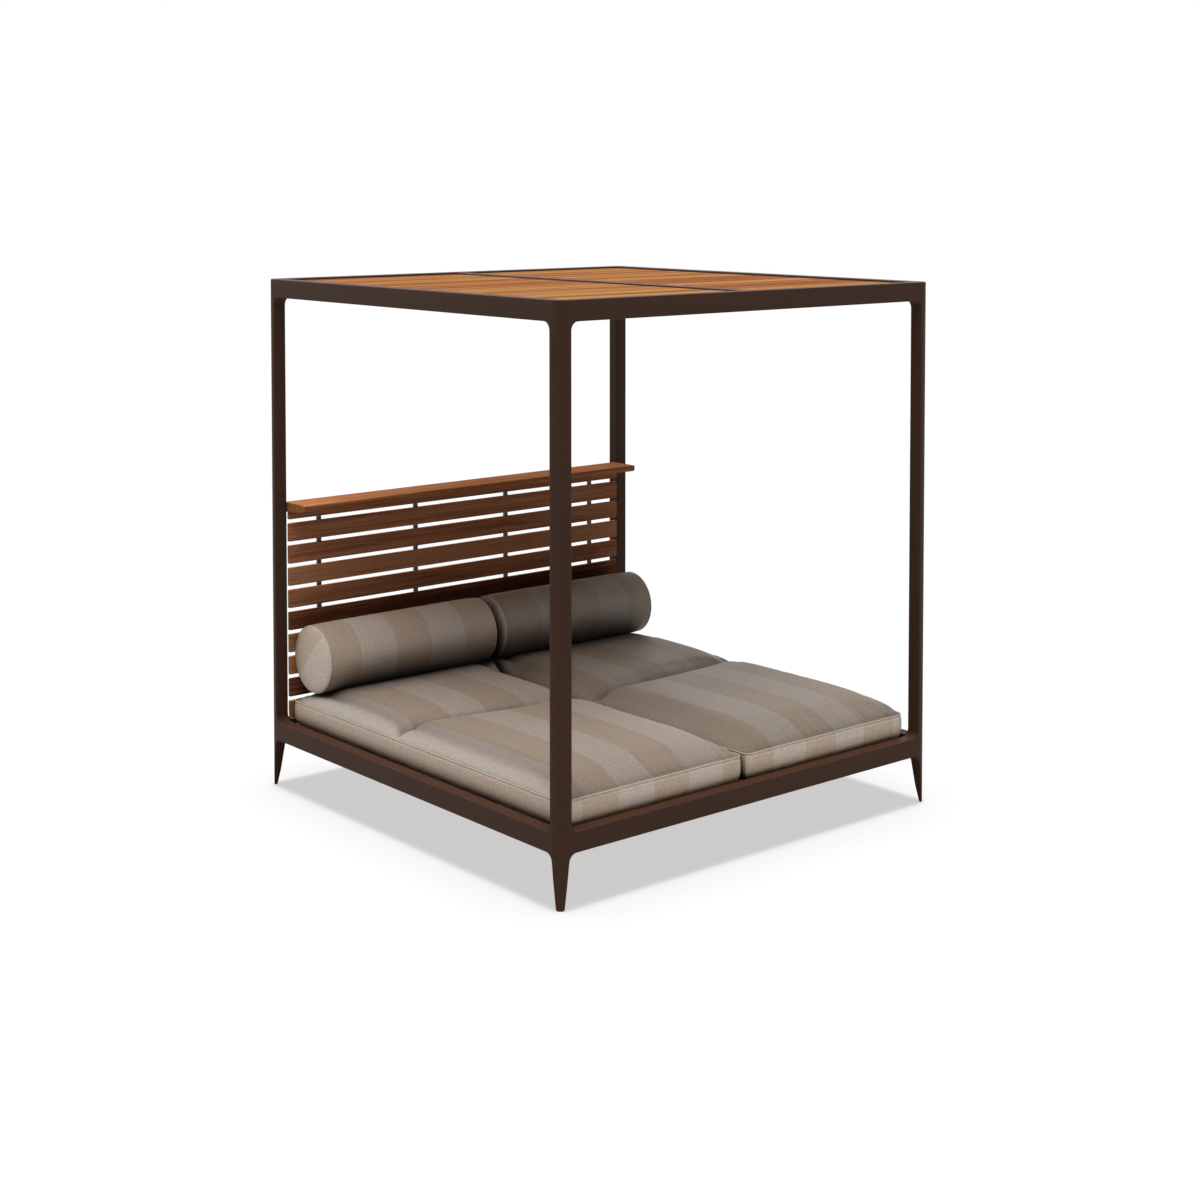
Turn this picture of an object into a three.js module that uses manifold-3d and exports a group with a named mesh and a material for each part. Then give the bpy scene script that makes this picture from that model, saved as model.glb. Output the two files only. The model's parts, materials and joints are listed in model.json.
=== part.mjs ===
// Outdoor daybed with a slatted canopy, for two people.
// Millimetres, +Z up. The floor is at z = 0, the origin is the middle of the footprint and the
// headboard stands at +Y.

import * as THREE from 'three';
import { mergeVertices } from 'three/addons/utils/BufferGeometryUtils.js';
import Module from 'manifold-3d';

const wasm = await Module();
wasm.setup();

// Overall frame
const frameWidth = 1995;
const frameDepth = 2004;
const frameHeight = 2200;
const lowerRailBottom = 204;
const railHeight = 78;

// Posts and rails, hollow extrusions of one width
const tubeWidth = 58.3;
const wall = 3;
const outerCornerRadius = 48.6; // the large rounding on the outward corner of every post
const edgeRadius = 4;
const cavityRadius = 1;

// Ledge on the inner side of every rail and on both sides of the centre beams
const ledgeWidth = 24;
const ledgeThickness = 3;

// Corner castings
const armReach = 108; // from the outer face to the seam with the rail
const postStub = 108.5; // from the rail to the seam with the post
const spigotLength = 60;
const footWidth = 27;
const legTopWidth = 51;
const legFillet = 32;
const lowerFillet = 30;
const upperFillet = 32;
const footChamfer = 5;

// Glides pressed into the feet
const glideHeight = 4;
const glideInset = 2.2;
const glideRound = 1.2;
const glideStemLength = 22;
const stemSegments = 16;
const stemThicknessShare = 0.22; // of the foot's thickness along its diagonal

// Centre beams
const beamWidth = 58.3;
const beamWall = 3;
const roofBeamHeight = 60;
const roofBeamRecess = 2;
const deckBeamHeight = 50;

// Roof panels
const roofRecess = 8;
const roofSlatWidth = 42.2;
const roofSlatGap = 5;
const slatThickness = 18;
const battenWidth = 42;
const battenThickness = 22;
const battenPlaceShares = [0.24, 0.76];
const panelGap = 3; // shadow gap round each panel

// Deck panels under the mattresses
const deckDepth = 20; // deck top below the lower rail's top
const deckSlatWidth = 82;
const deckSlatGap = 26;

// Headboard
const plankCount = 10;
const plankHeight = 79.5;
const plankGap = 17.3;
const plankThickness = 15;
const plankRound = 4; // corners seen from the front
const plankEdge = 2.2; // all long and short edges
const plankEndGap = 5.7; // from a plank's end to the post
const plankLift = 4.7; // the lowest plank above the rail
const plankProud = 7.3; // planks in front of the posts' faces
const capTop = 1233.6;
const capDepth = 158.5;
const capBackThickness = 43.6;
const capNoseThickness = 27;
const capEndGap = 3.2;
const capNoseRound = 7;
const capSoffitRound = 20;
const capSoffitPlaceShare = 0.7; // where the soffit starts to rise, as a share of the cap's depth
const capSoffitRiseShare = 0.18; // how far it has risen there, as a share of the back's thickness
const uprightWidth = 20;
const uprightThickness = 10;
const uprightFootWidth = 60;
const uprightFootThickness = 5;
const uprightPlaceShares = [-0.821, -0.274, 0.274, 0.821]; // of half the clear width

// Mattresses
const mattressSideGap = 6;
const mattressFrontGap = 6.5;
const partingGap = 10; // between the two mattresses
const partingShift = -7; // the parting's place, off the middle
const boxingHeight = 110;
const crownHeight = 72; // from the seam to the shoulders
const bellyHeight = 9; // from the shoulders to the highest point
const shoulderWidth = 78;
const shoulderPower = 2.2;
const mattressCornerRadius = 34;
const sideDrawIn = 4;
const rollWidth = 18; // how far the sides turn in at the bottom
const foldDepthShare = 0.62; // of the crown's height
const foldWidth = 150;
const foldOuterPlaces = { left: 130, right: 70 };
const foldInnerPlace = 42;

// Bolsters
const bolsterRadius = 144;
const bolsterAxisSetback = 153.5; // in front of the posts' faces
const bolsterSink = 29; // how far it sinks into the mattress's highest point
const bolsterLength = 875; // from welt to welt
const bolsterInnerGaps = { left: 22, right: 26 }; // from the mattress's inner edge to the welt
const bolsterDome = 22;
const weltRadius = 4;
const bolsterDrawIn = 5;

// Clearances
const seamGap = 0.4; // between a casting and the extrusion it plugs into
const spigotClearance = 0.5;
const seatGap = 0.3; // between a piece and what carries it
const softGap = 0.9; // between a bolster and the hollow that it presses

// Drawing
const overrun = 12; // how far a cutting shape runs past what it cuts
const arcSag = 0.3; // how far a facet may lie off its true arc
const edgeSteps = 2;

// Derived sizes
const lowerRailTop = lowerRailBottom + railHeight;
const upperRailBottom = frameHeight - railHeight;
const lowerSeam = lowerRailTop + postStub;
const upperSeam = upperRailBottom - postStub;
const clearHalfWidth = frameWidth / 2 - tubeWidth;
const clearHalfDepth = frameDepth / 2 - tubeWidth;
const deckTop = lowerRailTop - deckDepth;
const roofTop = frameHeight - roofRecess;
const mattressBottom = deckTop + seatGap;
const mattressSeam = mattressBottom + boxingHeight;
const mattressTop = mattressSeam + crownHeight + bellyHeight;
const bolsterY = clearHalfDepth - bolsterAxisSetback;
const bolsterZ = mattressTop - bolsterSink + bolsterRadius;

const bronze = new THREE.MeshStandardMaterial({ color: '#43312a', roughness: 0.5, metalness: 0.35 });
const teak = new THREE.MeshStandardMaterial({ color: '#b06a3c', roughness: 0.6, metalness: 0 });
const blackMetal = new THREE.MeshStandardMaterial({ color: '#1d1b1a', roughness: 0.5, metalness: 0.3 });
const blackNylon = new THREE.MeshStandardMaterial({ color: '#151413', roughness: 0.7, metalness: 0 });
const stripedFabric = new THREE.MeshStandardMaterial({ color: '#9b8e80', roughness: 0.95, metalness: 0 });

// Outlines and solids

// A closed outline through corners [x, y, radius], with every round corner drawn as an arc.
function roundedShape(corners) {
  const points = corners.flatMap(([x, y, radius = 0], index) => {
    const corner = new THREE.Vector2(x, y);
    if (radius === 0) return [corner];
    const [beforeX, beforeY] = corners.at(index - 1);
    const [afterX, afterY] = corners[(index + 1) % corners.length];
    const before = new THREE.Vector2(beforeX, beforeY).sub(corner).normalize();
    const after = new THREE.Vector2(afterX, afterY).sub(corner).normalize();
    const halfAngle = Math.acos(before.dot(after)) / 2;
    const tangent = radius / Math.tan(halfAngle);
    const start = corner.clone().addScaledVector(before, tangent);
    const end = corner.clone().addScaledVector(after, tangent);
    const middle = before.clone().add(after).setLength(radius / Math.sin(halfAngle)).add(corner);
    return arcBetween(middle, start, end, radius);
  });
  return new THREE.Shape(points);
}

// The points of the shorter arc from start to end.
function arcBetween(middle, start, end, radius) {
  const from = start.clone().sub(middle);
  const turn = Math.atan2(from.cross(end.clone().sub(middle)), from.dot(end.clone().sub(middle)));
  const sag = Math.min(arcSag / radius, 1);
  const steps = Math.max(edgeSteps, Math.round(Math.abs(turn) / (2 * Math.acos(1 - sag))));
  return Array.from({ length: steps + 1 }, (_, step) =>
    from.clone().rotateAround(new THREE.Vector2(), turn * step / steps).add(middle));
}

function rectangle(left, low, right, high, radius = 0) {
  return roundedShape([
    [left, low, radius],
    [right, low, radius],
    [right, high, radius],
    [left, high, radius],
  ]);
}

const axisFrames = {
  x: [new THREE.Vector3(0, 1, 0), new THREE.Vector3(0, 0, 1), new THREE.Vector3(1, 0, 0)],
  y: [new THREE.Vector3(1, 0, 0), new THREE.Vector3(0, 0, 1), new THREE.Vector3(0, -1, 0)],
  z: [new THREE.Vector3(1, 0, 0), new THREE.Vector3(0, 1, 0), new THREE.Vector3(0, 0, 1)],
};

// An outline drawn out along an axis, with both ends rounded where round isn't zero. Its outline is
// (y, z) along x, (x, z) along y and (x, y) along z.
function prism(shape, axis, from, to, round = 0, roundSteps = edgeSteps) {
  const geometry = new THREE.ExtrudeGeometry(shape, {
    depth: to - from - 2 * round,
    bevelEnabled: round > 0,
    bevelThickness: round,
    bevelSize: round,
    bevelOffset: -round,
    bevelSegments: roundSteps,
  });
  geometry.translate(0, 0, axis === 'y' ? round - to : from + round);
  return geometry.applyMatrix4(new THREE.Matrix4().makeBasis(...axisFrames[axis]));
}

function solid(geometry) {
  const bare = geometry.clone();
  bare.deleteAttribute('normal');
  bare.deleteAttribute('uv');
  const merged = mergeVertices(bare);
  return new wasm.Manifold(new wasm.Mesh({
    numProp: 3,
    vertProperties: new Float32Array(merged.attributes.position.array),
    triVerts: new Uint32Array(merged.index.array),
  }));
}

function geometryOf(body) {
  const mesh = body.getMesh();
  const geometry = new THREE.BufferGeometry();
  geometry.setAttribute('position', new THREE.BufferAttribute(mesh.vertProperties, 3));
  geometry.setIndex(new THREE.BufferAttribute(mesh.triVerts, 1));
  geometry.computeVertexNormals();
  return geometry;
}

function named(name, geometry, material) {
  const mesh = new THREE.Mesh(geometry, material);
  mesh.name = name;
  return mesh;
}

// Frame sections, drawn from the outer faces inwards

function innerRadius(inset) {
  return Math.max(edgeRadius - inset, cavityRadius);
}

function postSection(inset) {
  const low = inset;
  const high = tubeWidth - inset;
  return roundedShape([
    [low, low, outerCornerRadius - inset],
    [high, low, innerRadius(inset)],
    [high, high, innerRadius(inset)],
    [low, high, innerRadius(inset)],
  ]);
}

function railSection(inset, bottom) {
  return rectangle(inset, bottom + inset, tubeWidth - inset, bottom + railHeight - inset,
    innerRadius(inset));
}

// The rail's section with its inward ledge, whose top is at ledgeTop.
function ledgedSection(bottom, ledgeTop) {
  const section = roundedShape([
    [0, bottom, edgeRadius],
    [tubeWidth, bottom, edgeRadius],
    [tubeWidth, ledgeTop - ledgeThickness],
    [tubeWidth + ledgeWidth, ledgeTop - ledgeThickness],
    [tubeWidth + ledgeWidth, ledgeTop],
    [tubeWidth, ledgeTop],
    [tubeWidth, bottom + railHeight, edgeRadius],
    [0, bottom + railHeight, edgeRadius],
  ]);
  section.holes.push(railSection(wall, bottom));
  return section;
}

// Corner castings. Each is drawn with its outward corner at the origin and its arms along +X and +Y,
// and is the same seen along either arm.

// The side view of a lower casting: leg, arm and the stub of the post.
function lowerOutline() {
  const reach = armReach + overrun;
  return roundedShape([
    [-overrun, glideHeight],
    [footWidth, glideHeight],
    [legTopWidth, lowerRailBottom, legFillet],
    [reach, lowerRailBottom],
    [reach, lowerRailTop],
    [tubeWidth, lowerRailTop, lowerFillet],
    [tubeWidth, lowerSeam + overrun],
    [-overrun, lowerSeam + overrun],
  ]);
}

// The side view of an upper casting: the stub of the post and the arm.
function upperOutline(top) {
  const reach = armReach + overrun;
  return roundedShape([
    [-overrun, upperSeam - overrun],
    [tubeWidth, upperSeam - overrun],
    [tubeWidth, upperRailBottom, upperFillet],
    [reach, upperRailBottom],
    [reach, top],
    [-overrun, top],
  ]);
}

// The part of space that both side views and the rounded plan allow, between two heights.
function castingBody(innerOutline, outerOutline, low, high, topRound) {
  const reach = armReach + overrun;
  const arms = ['x', 'y'].map(axis => solid(prism(innerOutline, axis, -overrun, tubeWidth, edgeRadius)));
  const sides = ['x', 'y'].map(axis => solid(prism(outerOutline, axis, 0, reach, edgeRadius)));
  const plan = roundedShape([[0, 0, outerCornerRadius], [reach, 0], [reach, reach], [0, reach]]);
  const column = solid(prism(plan, 'z', low - overrun, high + (topRound ? 0 : overrun), topRound));
  const limits = solid(prism(rectangle(-overrun, -overrun, armReach, armReach), 'z', low, high));
  return arms[0].add(arms[1]).intersect(sides[0]).intersect(sides[1]).intersect(column).intersect(limits);
}

// The plug that goes into a rail, along +X or +Y.
function railSpigot(axis, bottom) {
  const section = railSection(wall + spigotClearance, bottom);
  return solid(prism(section, axis, armReach - overrun, armReach + spigotLength));
}

function postSpigot(from, to) {
  return solid(prism(postSection(wall + spigotClearance), 'z', from, to));
}

// The leg's inward edge is cut off along the diagonal, widest at the foot and fading out upwards.
function legEdgeCut() {
  const far = 2 * (armReach + overrun);
  const diagonal = Math.SQRT2;
  const keep = new THREE.Shape([
    new THREE.Vector2(-far, glideHeight - overrun),
    new THREE.Vector2(diagonal * footWidth - footChamfer, glideHeight - overrun),
    new THREE.Vector2(diagonal * footWidth - footChamfer, glideHeight),
    new THREE.Vector2(diagonal * tubeWidth, lowerRailBottom),
    new THREE.Vector2(far, lowerRailBottom),
    new THREE.Vector2(far, lowerSeam + 2 * overrun),
    new THREE.Vector2(-far, lowerSeam + 2 * overrun),
  ]);
  return solid(prism(keep, 'y', -far, far).rotateZ(Math.PI / 4));
}

// The foot's section lies between the outer rounding and its two inner faces. These are the
// distances from the outward corner to its near and far side along one arm, on the diagonal.
const footNear = outerCornerRadius * (1 - Math.SQRT1_2);
const footMiddle = (footNear + footWidth - footChamfer * Math.SQRT1_2) / 2;
const stemRadius = (footWidth - footNear) * Math.SQRT2 * stemThicknessShare;

function stemAt(radius, low, high) {
  const stem = new THREE.CylinderGeometry(radius, radius, high - low, stemSegments);
  stem.rotateX(Math.PI / 2);
  stem.translate(footMiddle, footMiddle, (low + high) / 2);
  return solid(stem);
}

function lowerCorner() {
  const outline = lowerOutline();
  const body = castingBody(outline, outline, glideHeight, lowerSeam, 0);
  const bore = stemAt(stemRadius + seatGap, glideHeight - overrun, glideHeight + glideStemLength + seatGap);
  return geometryOf(body.intersect(legEdgeCut())
    .add(railSpigot('x', lowerRailBottom))
    .add(railSpigot('y', lowerRailBottom))
    .add(postSpigot(lowerSeam - overrun, lowerSeam + spigotLength))
    .subtract(bore));
}

function upperCorner() {
  const body = castingBody(upperOutline(frameHeight), upperOutline(frameHeight + overrun), upperSeam,
    frameHeight, edgeRadius);
  return geometryOf(body
    .add(railSpigot('x', upperRailBottom))
    .add(railSpigot('y', upperRailBottom))
    .add(postSpigot(upperSeam - spigotLength, upperSeam + overrun)));
}

// A nylon pad with the outline of the foot, a little smaller, on a stem that is pressed into it.
function glide() {
  const radius = outerCornerRadius - glideInset;
  const inner = footWidth - glideInset;
  const rise = Math.acos((outerCornerRadius - inner) / radius);
  const start = new THREE.Vector2(-Math.cos(rise), -Math.sin(rise)).multiplyScalar(radius);
  const middle = new THREE.Vector2(outerCornerRadius, outerCornerRadius);
  const from = new THREE.Vector2(start.y, start.x).add(middle);
  const chamfer = footChamfer * Math.SQRT1_2;
  const outline = new THREE.Shape([
    ...arcBetween(middle, start.add(middle), from, radius),
    new THREE.Vector2(inner - chamfer, inner),
    new THREE.Vector2(inner, inner - chamfer),
  ]);
  const pad = solid(prism(outline, 'z', 0, glideHeight - seatGap, glideRound));
  return geometryOf(pad.add(stemAt(stemRadius, glideHeight / 2, glideHeight + glideStemLength)));
}

function post() {
  const section = postSection(0);
  section.holes.push(postSection(wall));
  return prism(section, 'z', lowerSeam + seamGap, upperSeam - seamGap);
}

function rail(length, bottom, ledgeTop) {
  const inset = armReach + seamGap;
  return prism(ledgedSection(bottom, ledgeTop), 'x', inset, length - inset);
}

// Centre beams

// A box tube with a ledge on each side. Its ends are slotted over the ledges of the two rails.
function centreBeam(top, height, ledgeTop) {
  const half = beamWidth / 2;
  const bottom = top - height;
  const section = roundedShape([
    [-half, bottom, edgeRadius],
    [half, bottom, edgeRadius],
    [half, ledgeTop - ledgeThickness],
    [half + ledgeWidth, ledgeTop - ledgeThickness],
    [half + ledgeWidth, ledgeTop],
    [half, ledgeTop],
    [half, top, edgeRadius],
    [-half, top, edgeRadius],
    [-half, ledgeTop],
    [-half - ledgeWidth, ledgeTop],
    [-half - ledgeWidth, ledgeTop - ledgeThickness],
    [-half, ledgeTop - ledgeThickness],
  ]);
  section.holes.push(rectangle(-half + beamWall, bottom + beamWall, half - beamWall, top - beamWall,
    cavityRadius));
  const end = clearHalfDepth - seatGap;
  const slotEnd = clearHalfDepth - ledgeWidth - seatGap;
  const slotWidth = half + ledgeWidth + overrun;
  const slot = rectangle(-slotWidth, ledgeTop - ledgeThickness - seatGap, slotWidth, ledgeTop + seatGap);
  return geometryOf(solid(prism(section, 'y', -end, end))
    .subtract(solid(prism(slot, 'y', slotEnd, end + overrun)))
    .subtract(solid(prism(slot, 'y', -end - overrun, -slotEnd))));
}

// Slatted panels

// Slats across the half width between the frame and the beam, joined by battens underneath.
function slatPanel(top, slatWidth, slatGap) {
  const left = -clearHalfWidth + panelGap;
  const right = -beamWidth / 2 - panelGap;
  const length = 2 * (clearHalfDepth - panelGap);
  const count = Math.round((length + slatGap) / (slatWidth + slatGap));
  const pitch = (length + slatGap) / count;
  const bottom = top - slatThickness;
  const slats = Array.from({ length: count }, (_, index) => {
    const start = index * pitch - length / 2;
    return solid(prism(rectangle(left, bottom, right, top), 'y', start, start + pitch - slatGap));
  });
  const battenEnd = clearHalfDepth - ledgeWidth - panelGap;
  const battens = battenPlaceShares.map(share => {
    const middle = left + (right - left) * share;
    const section = rectangle(middle - battenWidth / 2, bottom - battenThickness,
      middle + battenWidth / 2, bottom);
    return solid(prism(section, 'y', -battenEnd, battenEnd));
  });
  return geometryOf([...slats, ...battens].reduce((panel, strip) => panel.add(strip)));
}

// Headboard

const plankFront = clearHalfDepth - plankProud;
const plankBack = plankFront + plankThickness;
const capUnderside = capTop - capBackThickness;

// The lowest plank's lower corners are rounded to clear the fillets of the castings beside it.
function plank(index) {
  const low = lowerRailTop + plankLift + index * (plankHeight + plankGap);
  const high = Math.min(low + plankHeight, capUnderside - seatGap);
  const half = clearHalfWidth - plankEndGap;
  const lowRadius = index === 0 ? lowerFillet - plankEndGap : plankRound;
  const outline = roundedShape([
    [-half, low, lowRadius],
    [half, low, lowRadius],
    [half, high, plankRound],
    [-half, high, plankRound],
  ]);
  return prism(outline, 'y', plankFront, plankBack, plankEdge, 1);
}

const capBack = plankBack + seatGap + uprightThickness;

// The shelf on top: thick over the planks, with a soffit that rises to a thin rounded nose.
function headboardCap() {
  const nose = capBack - capDepth;
  const half = clearHalfWidth - capEndGap;
  const soffitRise = capBackThickness * capSoffitRiseShare;
  const section = roundedShape([
    [capBack, capTop, plankEdge],
    [nose, capTop, capNoseRound],
    [nose + capNoseRound / 2, capTop - capNoseThickness, capSoffitRound / 2],
    [capBack - capDepth * capSoffitPlaceShare, capUnderside + soffitRise, capSoffitRound],
    [plankFront, capUnderside],
    [capBack, capUnderside],
  ]);
  return prism(section, 'x', -half, half, plankEdge, 1);
}

// A flat bar on a foot plate. The planks and the cap are screwed to it from behind and below.
function upright(middle) {
  const low = lowerRailTop + seatGap;
  const high = capUnderside - seatGap;
  const bar = uprightWidth / 2;
  const foot = uprightFootWidth / 2;
  const outline = roundedShape([
    [middle - foot, low],
    [middle + foot, low],
    [middle + foot, low + uprightFootThickness],
    [middle + bar, low + uprightFootThickness],
    [middle + bar, high],
    [middle - bar, high],
    [middle - bar, low + uprightFootThickness],
    [middle - foot, low + uprightFootThickness],
  ]);
  return prism(outline, 'y', plankBack + seatGap, plankBack + seatGap + uprightThickness);
}

// Mattresses

// Rises from 0 at an edge to 1 at the given reach from it, steeply at first.
function shoulder(distance, reach) {
  const short = Math.max(1 - distance / reach, 0);
  return (1 - short ** shoulderPower) ** (1 / shoulderPower);
}

// Spaces shares of a length closer together at both ends.
function easedShare(share) {
  return (1 - Math.cos(Math.PI * share)) / 2;
}

const mattressColumns = 12;
const rowCounts = { beforeFold: 7, behindFold: 4, underBolster: 8, behindBolster: 4 };

// The rows of the grid from front to back at one place across, closer together at the edges, at the
// fold and under the bolster.
function rowPlaces(foldPlace, span) {
  const pressHalf = Math.sqrt(bolsterRadius ** 2 - (bolsterRadius - bolsterSink) ** 2);
  const stretch = (start, end, count, spacing) => Array.from({ length: count }, (_, step) =>
    start + (end - start) * spacing(step / count));
  return [
    ...stretch(span.front, foldPlace, rowCounts.beforeFold, easedShare),
    ...stretch(foldPlace, bolsterY - pressHalf, rowCounts.behindFold, easedShare),
    ...stretch(bolsterY - pressHalf, bolsterY + pressHalf, rowCounts.underBolster, share => share),
    ...stretch(bolsterY + pressHalf, span.back, rowCounts.behindBolster, easedShare),
    span.back,
  ];
}

// Rounds the plan's corners: the square of each corner is drawn in to a quarter circle.
function roundedPlan(x, y, span) {
  const halfWidth = (span.right - span.left) / 2;
  const halfLength = (span.back - span.front) / 2;
  const middleX = (span.left + span.right) / 2;
  const middleY = (span.front + span.back) / 2;
  const acrossShare = (x - middleX) / halfWidth;
  const alongShare = (y - middleY) / halfLength;
  const drawnX = sideDrawIn * (1 - alongShare ** 2);
  const drawnY = sideDrawIn * (1 - acrossShare ** 2);
  const placed = new THREE.Vector2(
    (x - middleX) * (1 - drawnX / halfWidth),
    (y - middleY) * (1 - drawnY / halfLength),
  );
  const beyondX = Math.abs(placed.x) - (halfWidth - mattressCornerRadius);
  const beyondY = Math.abs(placed.y) - (halfLength - mattressCornerRadius);
  if (beyondX > 0 && beyondY > 0) {
    const pull = Math.max(beyondX, beyondY) / Math.hypot(beyondX, beyondY);
    placed.x -= Math.sign(placed.x) * beyondX * (1 - pull);
    placed.y -= Math.sign(placed.y) * beyondY * (1 - pull);
  }
  return [placed.x + middleX, placed.y + middleY];
}

// The height of the mattress's top, with its fold and the hollow under the bolster. The place
// drawnY is y after the sides are drawn in.
function topHeight(x, y, drawnY, foldPlace, span) {
  const fromSide = Math.min(x - span.left, span.right - x);
  const fromEnd = Math.min(y - span.front, span.back - y);
  const edge = shoulder(fromSide, shoulderWidth) * shoulder(fromEnd, shoulderWidth);
  const fold = 1 - foldDepthShare * (1 - shoulder(Math.abs(y - foldPlace), foldWidth));
  const belly = Math.sin(Math.PI * (x - span.left) / (span.right - span.left));
  const height = mattressSeam + (crownHeight + bellyHeight * belly) * edge * fold;
  const pressRadius = bolsterRadius + softGap;
  const fromBolster = Math.min(Math.abs(drawnY - bolsterY), pressRadius);
  const underBolster = bolsterZ - Math.sqrt(pressRadius ** 2 - fromBolster ** 2);
  return Math.min(height, underBolster);
}

// Rings of the boxed side from the seam down: [share of the boxing's height, share of the roll].
const boxingRingShares = [[0.94, 0.1], [0.7, 0], [0.32, 0], [0.1, 0.3], [0, 1]];

function mattress(span) {
  const positions = [];
  const addPoint = (x, y, z) => positions.push(x, y, z) / 3 - 1;
  const columns = Array.from({ length: mattressColumns + 1 }, (_, column) => {
    const across = easedShare(column / mattressColumns);
    const x = span.left + (span.right - span.left) * across;
    const foldPlace = span.foldLeft + (span.foldRight - span.foldLeft) * across;
    return { x, foldPlace, places: rowPlaces(foldPlace, span) };
  });
  const grid = columns[0].places.map((_, row) => columns.map(({ x, foldPlace, places }) => {
    const y = places[row];
    const [planX, planY] = roundedPlan(x, y, span);
    return addPoint(planX, planY, topHeight(x, y, planY, foldPlace, span));
  }));
  const rim = rimOf(grid);
  const rings = boxingRingShares.map(([heightShare, rollShare]) => rim.map(index => {
    const x = positions[3 * index];
    const y = positions[3 * index + 1];
    const [planX, planY] = insetPlan(x, y, span, rollWidth * rollShare);
    return addPoint(planX, planY, mattressBottom + boxingHeight * heightShare);
  }));
  const middle = addPoint((span.left + span.right) / 2, (span.front + span.back) / 2, mattressBottom);
  const faces = gridFaces(grid);
  [rim, ...rings].slice(0, -1).forEach((upper, index) => faces.push(...bandFaces(upper, rings[index])));
  rings.at(-1).forEach((index, place, ring) => faces.push(ring[(place + 1) % ring.length], index, middle));
  const geometry = new THREE.BufferGeometry();
  geometry.setAttribute('position', new THREE.Float32BufferAttribute(positions, 3));
  geometry.setIndex(faces);
  geometry.computeVertexNormals();
  return geometry;
}

// Moves a point of the plan's edge inwards by the inset.
function insetPlan(x, y, span, inset) {
  const middleX = (span.left + span.right) / 2;
  const middleY = (span.front + span.back) / 2;
  return [
    middleX + (x - middleX) * (1 - 2 * inset / (span.right - span.left)),
    middleY + (y - middleY) * (1 - 2 * inset / (span.back - span.front)),
  ];
}

// The indices round the edge of a grid, anticlockwise from the front-left corner.
function rimOf(grid) {
  const lastRow = grid.length - 1;
  const lastColumn = grid[0].length - 1;
  const front = grid[0].slice(0, lastColumn);
  const right = grid.slice(0, lastRow).map(row => row[lastColumn]);
  const back = grid[lastRow].slice(1).reverse();
  const left = grid.slice(1).map(row => row[0]).reverse();
  return [...front, ...right, ...back, ...left];
}

function gridFaces(grid) {
  return grid.slice(0, -1).flatMap((row, rowIndex) => row.slice(0, -1).flatMap((corner, column) => {
    const right = row[column + 1];
    const behind = grid[rowIndex + 1][column];
    const across = grid[rowIndex + 1][column + 1];
    return [corner, right, across, corner, across, behind];
  }));
}

function bandFaces(upper, lower) {
  return upper.flatMap((index, place) => {
    const next = (place + 1) % upper.length;
    return [index, lower[place], lower[next], index, lower[next], upper[next]];
  });
}

const mattressSpans = {
  left: {
    left: -clearHalfWidth + mattressSideGap,
    right: partingShift - partingGap / 2,
    foldLeft: foldOuterPlaces.left,
    foldRight: foldInnerPlace,
  },
  right: {
    left: partingShift + partingGap / 2,
    right: clearHalfWidth - mattressSideGap,
    foldLeft: foldInnerPlace,
    foldRight: foldOuterPlaces.right,
  },
};
for (const span of Object.values(mattressSpans)) {
  span.front = -clearHalfDepth + mattressFrontGap;
  span.back = plankFront - mattressFrontGap;
}

// Bolsters

const bolsterSegments = 24;

// A round cushion along X with domed ends and a welt round each end.
function bolster(leftWelt) {
  const half = bolsterLength / 2;
  const neck = bolsterRadius - bolsterDrawIn;
  const domeShares = [0, 0.45, 0.8];
  const dome = domeShares.map(share =>
    new THREE.Vector2(neck * share, -half - bolsterDome * Math.sqrt(1 - share ** 2)));
  const lowEnd = [
    ...dome,
    new THREE.Vector2(neck - weltRadius / 2, -half - weltRadius),
    new THREE.Vector2(neck + weltRadius, -half - weltRadius / 2),
    new THREE.Vector2(neck + weltRadius, -half + weltRadius / 2),
    new THREE.Vector2(neck, -half + weltRadius),
    new THREE.Vector2(bolsterRadius, -half + bolsterRadius / 2),
  ];
  const highEnd = lowEnd.map(point => new THREE.Vector2(point.x, -point.y)).reverse();
  const geometry = new THREE.LatheGeometry([...lowEnd, ...highEnd], bolsterSegments);
  geometry.rotateZ(-Math.PI / 2);
  geometry.translate(leftWelt + half, bolsterY, bolsterZ);
  return geometryOf(solid(geometry));
}

// Assembly

const daybed = new THREE.Group();

// Each corner of the frame, with the rail that starts there and runs anticlockwise.
const corners = [
  { corner: 'front_left', side: 'front', x: -frameWidth / 2, y: -frameDepth / 2, run: frameWidth },
  { corner: 'front_right', side: 'right', x: frameWidth / 2, y: -frameDepth / 2, run: frameDepth },
  { corner: 'back_right', side: 'back', x: frameWidth / 2, y: frameDepth / 2, run: frameWidth },
  { corner: 'back_left', side: 'left', x: -frameWidth / 2, y: frameDepth / 2, run: frameDepth },
];
const deckLedge = deckTop - slatThickness - seatGap;
const roofLedge = roofTop - slatThickness - seatGap;

corners.forEach(({ corner, side, x, y, run }, index) => {
  const group = new THREE.Group();
  group.position.set(x, y, 0);
  group.rotation.z = index * Math.PI / 2;
  group.add(
    named(`lower_corner_${corner}`, lowerCorner(), bronze),
    named(`post_${corner}`, post(), bronze),
    named(`upper_corner_${corner}`, upperCorner(), bronze),
    named(`lower_rail_${side}`, rail(run, lowerRailBottom, deckLedge), bronze),
    named(`upper_rail_${side}`, rail(run, upperRailBottom, roofLedge), bronze),
    named(`glide_${corner}`, glide(), blackNylon),
  );
  daybed.add(group);
});

daybed.add(
  named('roof_beam', centreBeam(frameHeight - roofBeamRecess, roofBeamHeight, roofLedge), bronze),
  named('deck_beam', centreBeam(deckTop, deckBeamHeight, deckLedge), bronze),
);

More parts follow.
